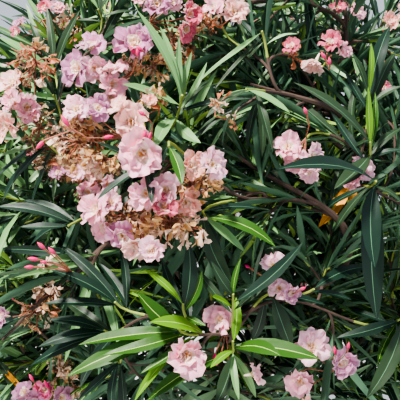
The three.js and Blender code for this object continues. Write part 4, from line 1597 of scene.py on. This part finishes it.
def grow_photo_truss(heap, shoot, random):
    """A truss with each bloom and bud at its pixel, on stalks that meet at the shoot's tip."""
    tip = at_share(shoot["curve"], 1)[0]
    depth = pixels_of(tip)[1][0]
    truss = PHOTO_TRUSSES[shoot["name"]]
    for pixel, (right, up, towards), colour, size in truss["blooms"]:
        facing = unit(right * RIGHT + up * UPWARD - towards * FORWARD)
        bloom_depth = depth - between(BLOOM_NEARER, random)
        throat = at_pixel(pixel, bloom_depth) - THROAT_DEPTH * size * facing
        foot = throat - BLOOM_TUBE * facing
        add_stalk(heap, tip, from_stalk(foot, tip), foot, facing)
        add_bloom(heap, bloom_shapes, throat, facing, colour, size, random)
        guard(throat, GUARD_RADIUS_BLOOM * size)
    for foot_pixel, tip_pixel in truss["buds"]:
        bud_depth = depth - between(BUD_NEARER, random)
        foot = at_pixel(foot_pixel, bud_depth)
        end = at_pixel(tip_pixel, bud_depth - BUD_TIP_NEARER)
        add_stalk(heap, tip, from_stalk(foot, tip), foot, unit(end - foot))
        add_bud(heap, foot, end)
        guard(foot, GUARD_RADIUS_BUD)
    for middle, spread, count, colour in truss["withered"]:
        fork = at_pixel(middle, depth + WITHERED_FORK_DEEPER)
        add_stalk(heap, tip, from_stalk(fork, tip), fork, from_stalk(fork, tip))
        for _ in range(round(WITHERED_MORE * count)):
            away = spread * math.sqrt(next(random))
            turn = math.tau * next(random)
            pixel = (middle[0] + away * math.cos(turn), middle[1] + away * math.sin(turn))
            foot = at_pixel(pixel, depth + between(WITHERED_DEEPER, random))
            stalk_way = from_stalk(foot, fork)
            hang = aside(stalk_way, between(WITHERED_ANGLES, random), 360 * next(random))
            hang = unit(hang - WITHERED_HANG * UP)
            add_stalk(heap, fork, stalk_way, foot, hang)
            add_withered(heap, foot, hang, colour, random)
        guard(at_pixel(middle, depth - WITHERED_GUARD_NEARER), WITHERED_GUARD_SHARE * spread)


for made in grown.values():
    for limb in made:
        if limb["radius"]:
            for point in along(limb["curve"], LIMB_GUARD_SHARES)[0]:
                guard(point, GUARD_RADIUS_LIMB)
for mass, made in grown.items():
    heap = Heap()
    for shoot in made:
        random = stream(1000 + shoot["number"])
        if shoot["name"] in PHOTO_TRUSSES:
            grow_photo_truss(heap, shoot, random)
        elif shoot["flowers"]:
            grow_truss(heap, shoot, random)
    if heap.count:
        blossom_mesh = heap.mesh(f"blossom_{mass}", PETAL_SHARP_ANGLE)
        new_piece(f"blossom_{mass}", blossom_mesh, blossom_materials, [f"foliage_{mass}"])

# Leaves
# Narrow leathery blades in whorls of three, glossy and dark above, duller below, with a pale
# midrib. The newest are short, upright and yellow-green, and a few old ones turn yellow.
LEAF_LENGTH = 0.126
LEAF_LENGTHS = (0.76, 1.24)
LEAF_HALF_WIDTH = 0.063
LEAF_BREADTHS = (0.6, 0.98)
LEAF_THICKNESS = 0.0022
MIDRIB_DEPTH = 0.007
FOLD_STEEPNESS = 1.5
FOLD_EASE = 0.6
EDGE_WAVE = 0.14
EDGE_WAVES = 1.6
UNTWISTED_SHARE = 0.3
LEAF_SHARP_ANGLE = 70
LEAF_ROWS = [0, 0.05, 0.16, 0.3, 0.46, 0.62, 0.78, 0.91, 1]
LEAF_OUTLINE = [0, 0.12, 0.5, 0.84, 1, 0.96, 0.72, 0.36, 0]
LEAF_COLUMNS = [-1, -0.55, -0.04, 0.04, 0.55, 1]
UNDERSIDE_COLUMNS = [-1, 0, 1]
OUTER_ROWS = [0, 0.1, 0.28, 0.5, 0.72, 0.9, 1]
OUTER_OUTLINE = [0, 0.3, 0.8, 1, 0.82, 0.4, 0]
OUTER_COLUMNS = [-1, -0.06, 0.06, 1]
INNER_ROWS = [0, 0.2, 0.5, 0.8, 1]
INNER_OUTLINE = [0, 0.62, 1, 0.68, 0]
LEAF_SHAPES = [
    {"arch": 10, "fold": 32, "sickle": 0.02, "twist": 10},
    {"arch": 16, "fold": 24, "sickle": -0.03, "twist": -16},
    {"arch": 24, "fold": 20, "sickle": 0.035, "twist": 24},
    {"arch": 34, "fold": 28, "sickle": -0.02, "twist": -12},
    {"arch": 46, "fold": 18, "sickle": 0.03, "twist": 20},
    {"arch": -12, "fold": 30, "sickle": -0.035, "twist": 28},
]
WHORL_LEAVES = 3
# Each whorl: its distance below the top, its leaves' angle from the shoot, and their share of
# the full length.
WHORLS = [
    {"below": 0.003, "angle": 12, "share": 0.42},
    {"below": 0.012, "angle": 24, "share": 0.68},
    {"below": 0.027, "angle": 38, "share": 0.9},
    {"below": 0.046, "angle": 50, "share": 1},
    {"below": 0.070, "angle": 60, "share": 1},
    {"below": 0.098, "angle": 68, "share": 1},
    {"below": 0.132, "angle": 78, "share": 0.92},
    {"below": 0.168, "angle": 82, "share": 0.95},
    {"below": 0.206, "angle": 86, "share": 0.9},
    {"below": 0.246, "angle": 88, "share": 0.9},
    {"below": 0.288, "angle": 90, "share": 0.85},
]
WHORL_TURN = 60
# From this whorl on, the leaves are deep in the foliage and are made with fewer faces.
INNER_WHORL = 5
FLOWER_STALK = 0.040
LOWEST_LEAF_SHARE = 0.1
LEAF_UPTURN = 0.8
LEAF_SAG = 0.16
LEAF_SINK = 0.0012
ANGLE_SPREAD = 16
TURN_SPREAD = 30
LEAF_GLOSS = 0.3
# A leaf that would hide what the photograph shows is turned on along its whorl a few times, and
# is left out if that doesn't help. It is tested at these shares of its length.
LEAF_TRIES = 4
TRY_TURN = 37
LEAF_TEST_SHARES = [0.3, 0.55, 0.8, 1]
LEAF_CLEARANCE = 2
GUARD_DEPTH = 0.01
# The photograph's own leaves: how far down the shoot each sits below the one before, how they
# face the eye, how much broader a short one is, and where on each its guards are.
LEAF_STEP = 0.006
FACE_EYE = 0.9
FACE_ASIDE = (-0.25, 0.25)
PHOTO_BREADTH = 1.15
BREADTH_POWER = 0.3
LEAF_GUARD_SHARES = (0.25, 0.5, 0.75, 0.95)
GUARD_RADIUS_LEAF = 9
TOP, MIDRIB, UNDERSIDE = 0, 1, 2

# Leaves that the photograph shows, by their shoot: the pixel of each one's tip, its tint, how
# much broader it is than most, and how much deeper than its root its tip lies.
# Of the tints, sunny and grey are painted sunlight and sheen, and dark is partly painted shade.
PHOTO_LEAVES = {
    "fan": [
        ((276, 247), "fresh", 1.25, -0.01),
        ((245, 252), "sunny", 1.15, 0.01),
        ((236, 290), "mid", 1.5, 0),
        ((262, 209), "dark", 0.8, 0.02),
        ((222, 262), "dark", 1, 0.03),
        ((250, 228), "mid", 0.9, 0.04),
    ],
    "young_low": [
        ((236, 297), "young", 1.4, 0.01),
        ((320, 359), "fresh", 1.6, -0.02),
        ((281, 356), "fresh", 1.6, -0.05),
        ((210, 368), "young", 1.2, -0.03),
        ((239, 400), "sunny", 0.9, -0.03),
        ((216, 404), "mid", 2.0, -0.02),
        ((146, 402), "fresh", 1.2, -0.01),
        ((256, 398), "sunny", 1, 0.02),
    ],
    "young_high": [
        ((211, 261), "mid", 1.5, -0.01),
        ((241, 258), "fresh", 0.8, 0),
        ((303, 242), "dark", 1.1, -0.02),
        ((212, 297), "young", 1.4, -0.03),
        ((272, 268), "mid", 1, 0.03),
        ((196, 268), "mid", 1, 0.02),
    ],
    "young_left": [
        ((137, 292), "fresh", 2.1, -0.02),
        ((78, 345), "fresh", 1.2, -0.01),
        ((103, 355), "fresh", 1.1, -0.02),
        ((66, 377), "fresh", 1.2, -0.015),
        ((134, 402), "young", 0.8, -0.01),
        ((140, 374), "fresh", 1.0, -0.02),
        ((150, 322), "young", 1.6, -0.04),
    ],
    "young_upper_left": [
        ((144, 269), "young", 0.9, 0),
        ((188, 242), "dark", 1.5, -0.01),
        ((202, 270), "fresh", 1.2, -0.01),
        ((206, 326), "fresh", 1.3, -0.02),
        ((162, 258), "dark", 1, 0.03),
        ((178, 270), "dark", 1, 0.03),
    ],
    "upright_whorl": [
        ((137, 10), "sunny", 0.7, -0.01),
        ((160, 26), "sunny", 0.65, 0.01),
        ((179, 36), "sunny", 0.7, 0),
        ((122, 84), "sunny", 1.8, -0.03),
        ((192, 51), "sunny", 0.8, -0.01),
        ((207, 62), "sunny", 0.7, 0.01),
        ((210, 80), "mid", 0.9, 0.02),
        ((156, 148), "sunny", 1.1, -0.09),
        ((201, 143), "sunny", 1.7, -0.03),
    ],
    "blunt": [((182, 185), "fresh", 1.5, -0.03), ((150, 180), "dark", 1.2, 0.01)],
    "grey_arch": [
        ((290, 113), "sunny", 1.2, -0.02),
        ((206, 118), "mid", 1.1, -0.01),
        ((222, 96), "sunny", 1, 0),
        ((273, 152), "mid", 0.9, -0.02),
        ((262, 158), "mid", 0.8, 0.01),
        ((248, 150), "dark", 0.9, 0.03),
    ],
    "long_left": [
        ((197, 83), "sunny", 0.6, -0.01),
        ((214, 90), "mid", 0.6, 0.01),
        ((232, 76), "grey", 0.6, 0.02),
        ((298, 34), "grey", 0.5, 0.01),
        ((234, 14), "dark", 0.9, 0.03),
    ],
    "right_stem": [
        ((293, 82), "mid", 1.2, -0.01),
        ((368, 86), "young", 0.85, -0.01),
        ((375, 92), "fresh", 0.7, 0),
        ((334, 189), "mid", 1.8, -0.04),
        ((402, 128), "mid", 1, 0.01),
        ((404, 150), "dark", 1, -0.01),
        ((330, 110), "dark", 0.9, 0.03),
    ],
    "right_tip": [
        ((371, 42), "young", 0.8, -0.01),
        ((352, 52), "mid", 1, 0),
        ((390, 26), "dark", 1.2, 0.01),
        ((402, 86), "mid", 1.2, -0.01),
        ((344, 70), "dark", 0.9, 0.02),
        ((396, 52), "mid", 0.9, 0.03),
    ],
    "right_low": [
        ((278, 169), "dark", 1.1, -0.09),
        ((375, 268), "dark", 1.7, -0.03),
        ((377, 320), "dark", 1.5, 0.01),
        ((404, 206), "mid", 1, 0),
        ((334, 232), "mid", 0.9, 0.02),
        ((318, 216), "dark", 1, 0.05),
    ],
    "middle_dark": [
        ((292, 349), "mid", 2.1, 0),
        ((326, 305), "dark", 1, 0.02),
        ((252, 340), "dark", 1.1, 0.04),
        ((300, 330), "dark", 1, 0.05),
    ],
    "slant_dark": [((367, 267), "dark", 1.2, 0.04), ((352, 300), "dark", 1, 0.02)],
    "corner_low": [
        ((366, 399), "mid", 1.3, -0.02),
        ((336, 338), "dark", 1.2, -0.01),
        ((390, 362), "dark", 1.1, 0.02),
        ((350, 310), "dark", 1, 0.03),
    ],
    "left_dark": [
        ((51, 270), "dark", 1.2, -0.01),
        ((43, 304), "dark", 1.1, 0),
        ((60, 245), "dark", 0.9, 0.03),
        ((120, 246), "dark", 0.9, 0.03),
        ((98, 262), "dark", 1, 0.05),
    ],
    "left_low": [
        ((49, 320), "dark", 1.3, -0.01),
        ((38, 347), "dark", 1.2, 0),
        ((62, 298), "mid", 1, 0.04),
        ((30, 366), "dark", 1, 0.02),
        ((80, 388), "dark", 1, 0.03),
    ],
    "left_high": [
        ((19, 227), "dark", 1.3, -0.01),
        ((-4, 207), "dark", 1.1, 0),
        ((22, 200), "dark", 1, 0.03),
        ((30, 246), "dark", 1, 0.04),
    ],
    "left_edge": [
        ((-6, 180), "dark", 1.1, 0),
        ((-6, 158), "sunny", 1, -0.01),
        ((2, 204), "dark", 1, 0.03),
        ((30, 210), "dark", 1, 0.05),
    ],
    "under_bloom": [
        ((97, 200), "dark", 1.2, -0.02),
        ((152, 204), "dark", 1.1, -0.02),
        ((94, 141), "dark", 0.9, -0.02),
    ],
    "upper_left": [
        ((21, 74), "sunny", 1, -0.01),
        ((36, 62), "mid", 0.9, 0),
        ((64, 66), "dark", 0.9, 0.01),
        ((34, 110), "dark", 1, 0.02),
        ((74, 112), "dark", 0.9, 0.03),
    ],
    "shoulder": [
        ((30, 22), "mid", 0.9, 0),
        ((47, 8), "mid", 0.9, 0.01),
        ((80, 10), "mid", 1, -0.01),
        ((-4, 36), "sunny", 1.1, -0.01),
        ((8, 50), "sunny", 1, -0.02),
        ((64, 30), "dark", 0.9, 0.02),
    ],
    "crest": [
        ((78, -14), "sunny", 0.9, 0),
        ((118, -12), "mid", 0.9, 0),
        ((138, 11), "mid", 0.9, 0.01),
        ((72, 20), "mid", 0.8, 0.01),
        ((98, -24), "mid", 0.9, 0.01),
    ],
    "bottom_dark": [
        ((112, 412), "dark", 1.2, 0),
        ((124, 420), "dark", 1.1, 0.01),
        ((78, 400), "dark", 1.1, 0.02),
    ],
    "bottom_left": [
        ((20, 401), "mid", 1.2, -0.02),
        ((29, 395), "yellow", 0.7, -0.02),
        ((36, 352), "dark", 1, 0.02),
    ],
    "hidden_truss": [((318, 228), "yellow", 1.5, -0.02), ((349, 212), "yellow", 1.2, -0.02)],
}


def leaf_shape(shares, outline, upper_columns, arch, fold, sickle, twist):
    """A blade from the origin to X 1, its upper face to +Z, that bows up between its ends."""
    bm = bmesh.new()
    half_arch = math.radians(arch) / 2
    radius = 0.5 / math.sin(half_arch)
    for columns, side in ((upper_columns, 1), (UNDERSIDE_COLUMNS, -1)):
        rows, strips = len(shares) - 1, len(columns) - 1
        sheet = bmesh.ops.create_grid(bm, x_segments=rows, y_segments=strips, size=1)
        faces = list({face for vert in sheet["verts"] for face in vert.link_faces})
        for face in faces:
            on_midrib = abs(face.calc_center_median().y) < 0.1
            face.material_index = UNDERSIDE if side < 0 else MIDRIB if on_midrib else TOP
        if side < 0:
            bmesh.ops.reverse_faces(bm, faces=faces)
        for vert in sheet["verts"]:
            row = round((vert.co.x + 1) / 2 * rows)
            u = shares[row]
            v = columns[round((vert.co.y + 1) / 2 * strips)]
            half = LEAF_HALF_WIDTH * outline[row]
            fullness = math.sin(math.pi * u) * (1 - abs(v))
            fold_rise = abs(v) * half * math.sin(math.radians(fold))
            y = v * half * math.cos(math.radians(fold))
            z = fold_rise * (FOLD_STEEPNESS - FOLD_EASE * abs(v))
            z += LEAF_THICKNESS * fullness if side > 0 else -MIDRIB_DEPTH * fullness
            z += EDGE_WAVE * half * abs(v) * math.sin(EDGE_WAVES * math.tau * u + arch + v)
            turn = math.radians(twist) * (u - UNTWISTED_SHARE)
            y, z = y * math.cos(turn) - z * math.sin(turn), y * math.sin(turn) + z * math.cos(turn)
            y += sickle * 4 * u * (1 - u)
            bend = half_arch * (1 - 2 * u)
            x = radius * (math.sin(half_arch) - math.sin(bend)) - z * math.sin(bend)
            z = radius * (math.cos(bend) - math.cos(half_arch)) + z * math.cos(bend)
            vert.co = (x, y, z)
    bmesh.ops.remove_doubles(bm, verts=bm.verts, dist=MERGE_DISTANCE)
    return arrays_of(bm)


def leaf_axes(along_way, upward):
    """Along a leaf, across it and away from its upper face, as the rows of a matrix."""
    across = unit(np.cross(upward, along_way))
    return np.array([along_way, across, np.cross(along_way, across)])


def hides_photo(points, radius):
    """Whether points come in front of what the photograph shows near the same pixels."""
    pixels, depths = pixels_of(points)
    apart = np.linalg.norm(pixels[:, None, :] - guard_pixels[None], axis=2)
    in_front = depths[:, None] < guard_depths[None] - GUARD_DEPTH
    return bool((in_front & (apart < guard_radii[None] + radius)).any())


def leaf_finish(name, colour, roughness, ior):
    """A leaf's skin: one plain colour, and a gloss that varies over a few millimetres."""
    material, shader = new_material(name, colour, roughness, ior)
    shader.inputs["Specular IOR Level"].default_value = LEAF_GLOSS
    place = add_node(material, "ShaderNodeTexCoord", {}, {}).outputs["Object"]
    skin = add_node(material, "ShaderNodeTexNoise", {"Scale": 160, "Detail": 3}, {"Vector": place})
    gloss = add_node(
        material,
        "ShaderNodeMapRange",
        {"To Min": roughness - 0.08, "To Max": roughness + 0.1},
        {"Value": skin.outputs["Fac"]},
    )
    drive(material, shader, "Roughness", gloss.outputs["Result"])
    veins = add_node(
        material,
        "ShaderNodeBump",
        {"Strength": 0.25, "Distance": 0.0006},
        {"Height": skin.outputs["Fac"]},
    )
    drive(material, shader, "Normal", veins.outputs["Normal"])
    return material


# A thick waxy skin over dark green: a soft broad gloss above, and a dull grey-green below.
leaf_materials = [
    # The dark tint is the leaf's own dark green, made darker still as painted shade.
    leaf_finish("waxy leaf, dark green in painted shade", "#172C22", 0.42, 1.42),
    leaf_finish("waxy leaf, mid green", "#273A25", 0.42, 1.42),
    # The sunny tint is the leaf's green lightened and greyed as painted sunlight and sheen.
    leaf_finish("waxy leaf, painted sunlit sheen", "#648B57", 0.4, 1.45),
    leaf_finish("fresh leaf", "#2C5316", 0.42, 1.45),
    leaf_finish("young leaf", "#5A861D", 0.45, 1.45),
    leaf_finish("old yellow leaf", "#D48C16", 0.5, 1.45),
    leaf_finish("midrib", "#8AA878", 0.45, 1.45),
    leaf_finish("young midrib", "#A9CB6C", 0.42, 1.45),
    leaf_finish("yellow midrib", "#E9C768", 0.45, 1.45),
    leaf_finish("leaf underside", "#46664E", 0.55, 1.45),
    leaf_finish("young leaf underside", "#9CC25C", 0.55, 1.45),
    leaf_finish("yellow leaf underside", "#D8A640", 0.6, 1.45),
    # The dark tint's midrib is dimmed as painted shade.
    leaf_finish("midrib of a dark leaf in painted shade", "#567A5E", 0.45, 1.45),
    # The grey tint is a pale grey-green that paints the sheen of light on the wax.
    leaf_finish("waxy leaf, painted pale sheen", "#8CAB83", 0.4, 1.45),
]
# For each tint, the finishes of a leaf's upper face, midrib and underside.
TINTS = {
    "dark": [0, 12, 9],
    "mid": [1, 12, 9],
    "sunny": [2, 6, 9],
    "grey": [13, 6, 9],
    "fresh": [3, 7, 10],
    "young": [4, 7, 10],
    "yellow": [5, 8, 11],
}
# Newer whorls take the next lighter tint; from mid that is the painted sunlit tint.
LIGHTER = {"dark": "mid", "mid": "sunny", "sunny": "fresh", "fresh": "young"}
# Tints dealt out at random, with painted sunlit, sheen and shade copies among them.
SPRAY_TINTS = ["dark"] * 5 + ["mid"] * 6 + ["sunny"] * 6 + ["grey"] * 4 + ["fresh"]
# Old limbs bear only a few whorls of the dark tint, which is partly painted shade.
LIMB_WHORLS = WHORLS[1:4]
LIMB_TINT = "dark"
NEW_WHORLS = 2
FIRST_YELLOW_WHORL = 4
YELLOW_SHARE = 0.015

leaf_shapes = [leaf_shape(LEAF_ROWS, LEAF_OUTLINE, LEAF_COLUMNS, **bend) for bend in LEAF_SHAPES]
outer_shapes = [leaf_shape(OUTER_ROWS, OUTER_OUTLINE, OUTER_COLUMNS, **bend) for bend in LEAF_SHAPES]
inner_shapes = [
    leaf_shape(INNER_ROWS, INNER_OUTLINE, UNDERSIDE_COLUMNS, **bend) for bend in LEAF_SHAPES
]


def add_leaf(heap, root, tip, upward, breadth, shape, tint):
    length = np.linalg.norm(tip - root)
    corners, triangles, finishes = shape
    sizes = length * np.array([1, breadth, 1])
    placed = root + (corners * sizes) @ leaf_axes((tip - root) / length, upward)
    heap.add(placed, triangles, np.array(TINTS[tint])[finishes])


leaf_heaps = {mass: Heap() for mass in mass_middles}
for mass, made in grown.items():
    for shoot in made:
        random = stream(2000 + shoot["number"])
        tips = PHOTO_LEAVES.get(shoot["name"], [])
        for number, (pixel, tint, breadth, deeper) in enumerate(tips):
            share = 1 - LEAF_STEP * number / length_of(shoot["curve"])
            place, tangent = at_share(shoot["curve"], share)
            tip = at_pixel(pixel, pixels_of(place)[1][0] + deeper)
            upward = UP - FACE_EYE * FORWARD + between(FACE_ASIDE, random) * RIGHT
            shorter = LEAF_LENGTH / np.linalg.norm(tip - place)
            width = PHOTO_BREADTH * breadth * shorter**BREADTH_POWER
            shape = leaf_shapes[int(next(random) * len(leaf_shapes))]
            root = place - LEAF_SINK * tangent
            add_leaf(leaf_heaps[mass], root, tip, upward, width, shape, tint)
            for share in LEAF_GUARD_SHARES:
                guard(root + share * (tip - root), GUARD_RADIUS_LEAF)

guard_rows = np.array(guards)
guard_pixels, guard_depths, guard_radii = guard_rows[:, :2], guard_rows[:, 2], guard_rows[:, 3]
for mass, made in grown.items():
    heap = leaf_heaps[mass]
    for shoot in made:
        if shoot["name"] in PHOTO_LEAVES:
            continue
        random = stream(3000 + shoot["number"])
        spray_tint = SPRAY_TINTS[int(next(random) * len(SPRAY_TINTS))]
        whorls = WHORLS
        if shoot["radius"]:
            spray_tint = LIMB_TINT
            whorls = LIMB_WHORLS
        has_truss = shoot["flowers"] or shoot["name"] in PHOTO_TRUSSES
        top = FLOWER_STALK if has_truss else 0
        for number, whorl in enumerate(whorls):
            share = 1 - (top + whorl["below"]) / length_of(shoot["curve"])
            if share < LOWEST_LEAF_SHARE:
                continue
            root, tangent = at_share(shoot["curve"], share)
            for leaf in range(WHORL_LEAVES):
                turn = shoot["turn"] + WHORL_TURN * number + 360 / WHORL_LEAVES * leaf
                turn += TURN_SPREAD * (next(random) - 0.5)
                angle = whorl["angle"] + ANGLE_SPREAD * (next(random) - 0.5)
                sag = LEAF_SAG * whorl["share"] * number / len(WHORLS) * 2 * next(random)
                size = LEAF_LENGTH * whorl["share"] * between(LEAF_LENGTHS, random)
                tint = spray_tint
                if number < NEW_WHORLS:
                    tint = LIGHTER.get(spray_tint, spray_tint)
                is_old = number >= FIRST_YELLOW_WHORL
                if is_old and next(random) < YELLOW_SHARE and not in_picture(root):
                    tint = "yellow"
                breadth = between(LEAF_BREADTHS, random)
                shapes = inner_shapes if number >= INNER_WHORL else outer_shapes
                shape = shapes[int(next(random) * len(shapes))]
                upward = tangent + LEAF_UPTURN * UP
                for attempt in range(LEAF_TRIES):
                    way = unit(aside(tangent, angle, turn + TRY_TURN * attempt) - sag * UP)
                    tip = root + size * way
                    line = root + np.outer(LEAF_TEST_SHARES, tip - root)
                    if not hides_photo(line, LEAF_CLEARANCE):
                        add_leaf(heap, root - LEAF_SINK * tangent, tip, upward, breadth, shape, tint)
                        break
    leaf_mesh = heap.mesh(f"leaves_{mass}", LEAF_SHARP_ANGLE)
    new_piece(f"leaves_{mass}", leaf_mesh, leaf_materials, [f"foliage_{mass}"])

# Floor and light
# A plain pale floor, a lamp high to the left for the sun, weak soft ones opposite and behind,
# and an even light from all round.
FLOOR_SIDE = 12
FLOOR_SHARP_ANGLE = 40
BACKDROP_STRENGTH = 1.14
floor_material, shader = new_material("pale studio floor", "#D9D6D0", 0.8, 1.45)
place = add_node(floor_material, "ShaderNodeTexCoord", {}, {}).outputs["Object"]
speckle = add_node(floor_material, "ShaderNodeTexNoise", {"Scale": 30, "Detail": 4}, {"Vector": place})
sheen = add_node(
    floor_material,
    "ShaderNodeMapRange",
    {"To Min": 0.7, "To Max": 0.85},
    {"Value": speckle.outputs["Fac"]},
)
drive(floor_material, shader, "Roughness", sheen.outputs["Result"])
ground = bmesh.new()
bmesh.ops.create_grid(ground, x_segments=1, y_segments=1, size=FLOOR_SIDE / 2)
floor = bpy.data.objects.new("floor", mesh_of(ground, "floor", FLOOR_SHARP_ANGLE))
floor.data.materials.append(floor_material)
bpy.context.scene.collection.objects.link(floor)

LAMPS = {
    "sun_lamp": {"place": (-1.3, -1.7, 4.0), "size": 0.35, "power": 405, "colour": "#FFF9F0"},
    "fill_lamp": {"place": (2.6, -1.8, 1.8), "size": 2.4, "power": 15, "colour": "#DCE6FF"},
    "back_lamp": {"place": (0.6, 3.0, 2.8), "size": 2.0, "power": 60, "colour": "#EEF2FF"},
}
for name, lamp in LAMPS.items():
    light = bpy.data.lights.new(name, "AREA")
    light.size = lamp["size"]
    light.energy = lamp["power"]
    light.color = linear(lamp["colour"])[:3]
    lamp_object = bpy.data.objects.new(name, light)
    lamp_object.location = lamp["place"]
    aim = Vector(FOLIAGE_MIDDLE) - Vector(lamp["place"])
    lamp_object.rotation_euler = aim.to_track_quat("-Z", "Y").to_euler()
    bpy.context.scene.collection.objects.link(lamp_object)

world = bpy.data.worlds.new("studio")
world.use_nodes = True
backdrop = world.node_tree.nodes["Background"]
backdrop.inputs["Color"].default_value = linear("#C9D2DC")
backdrop.inputs["Strength"].default_value = BACKDROP_STRENGTH
bpy.context.scene.world = world
bpy.context.scene.view_settings.view_transform = "AgX"
bpy.context.scene.view_settings.look = "AgX - Medium High Contrast"
bpy.context.scene.view_settings.exposure = 0.0

bpy.context.view_layer.update()
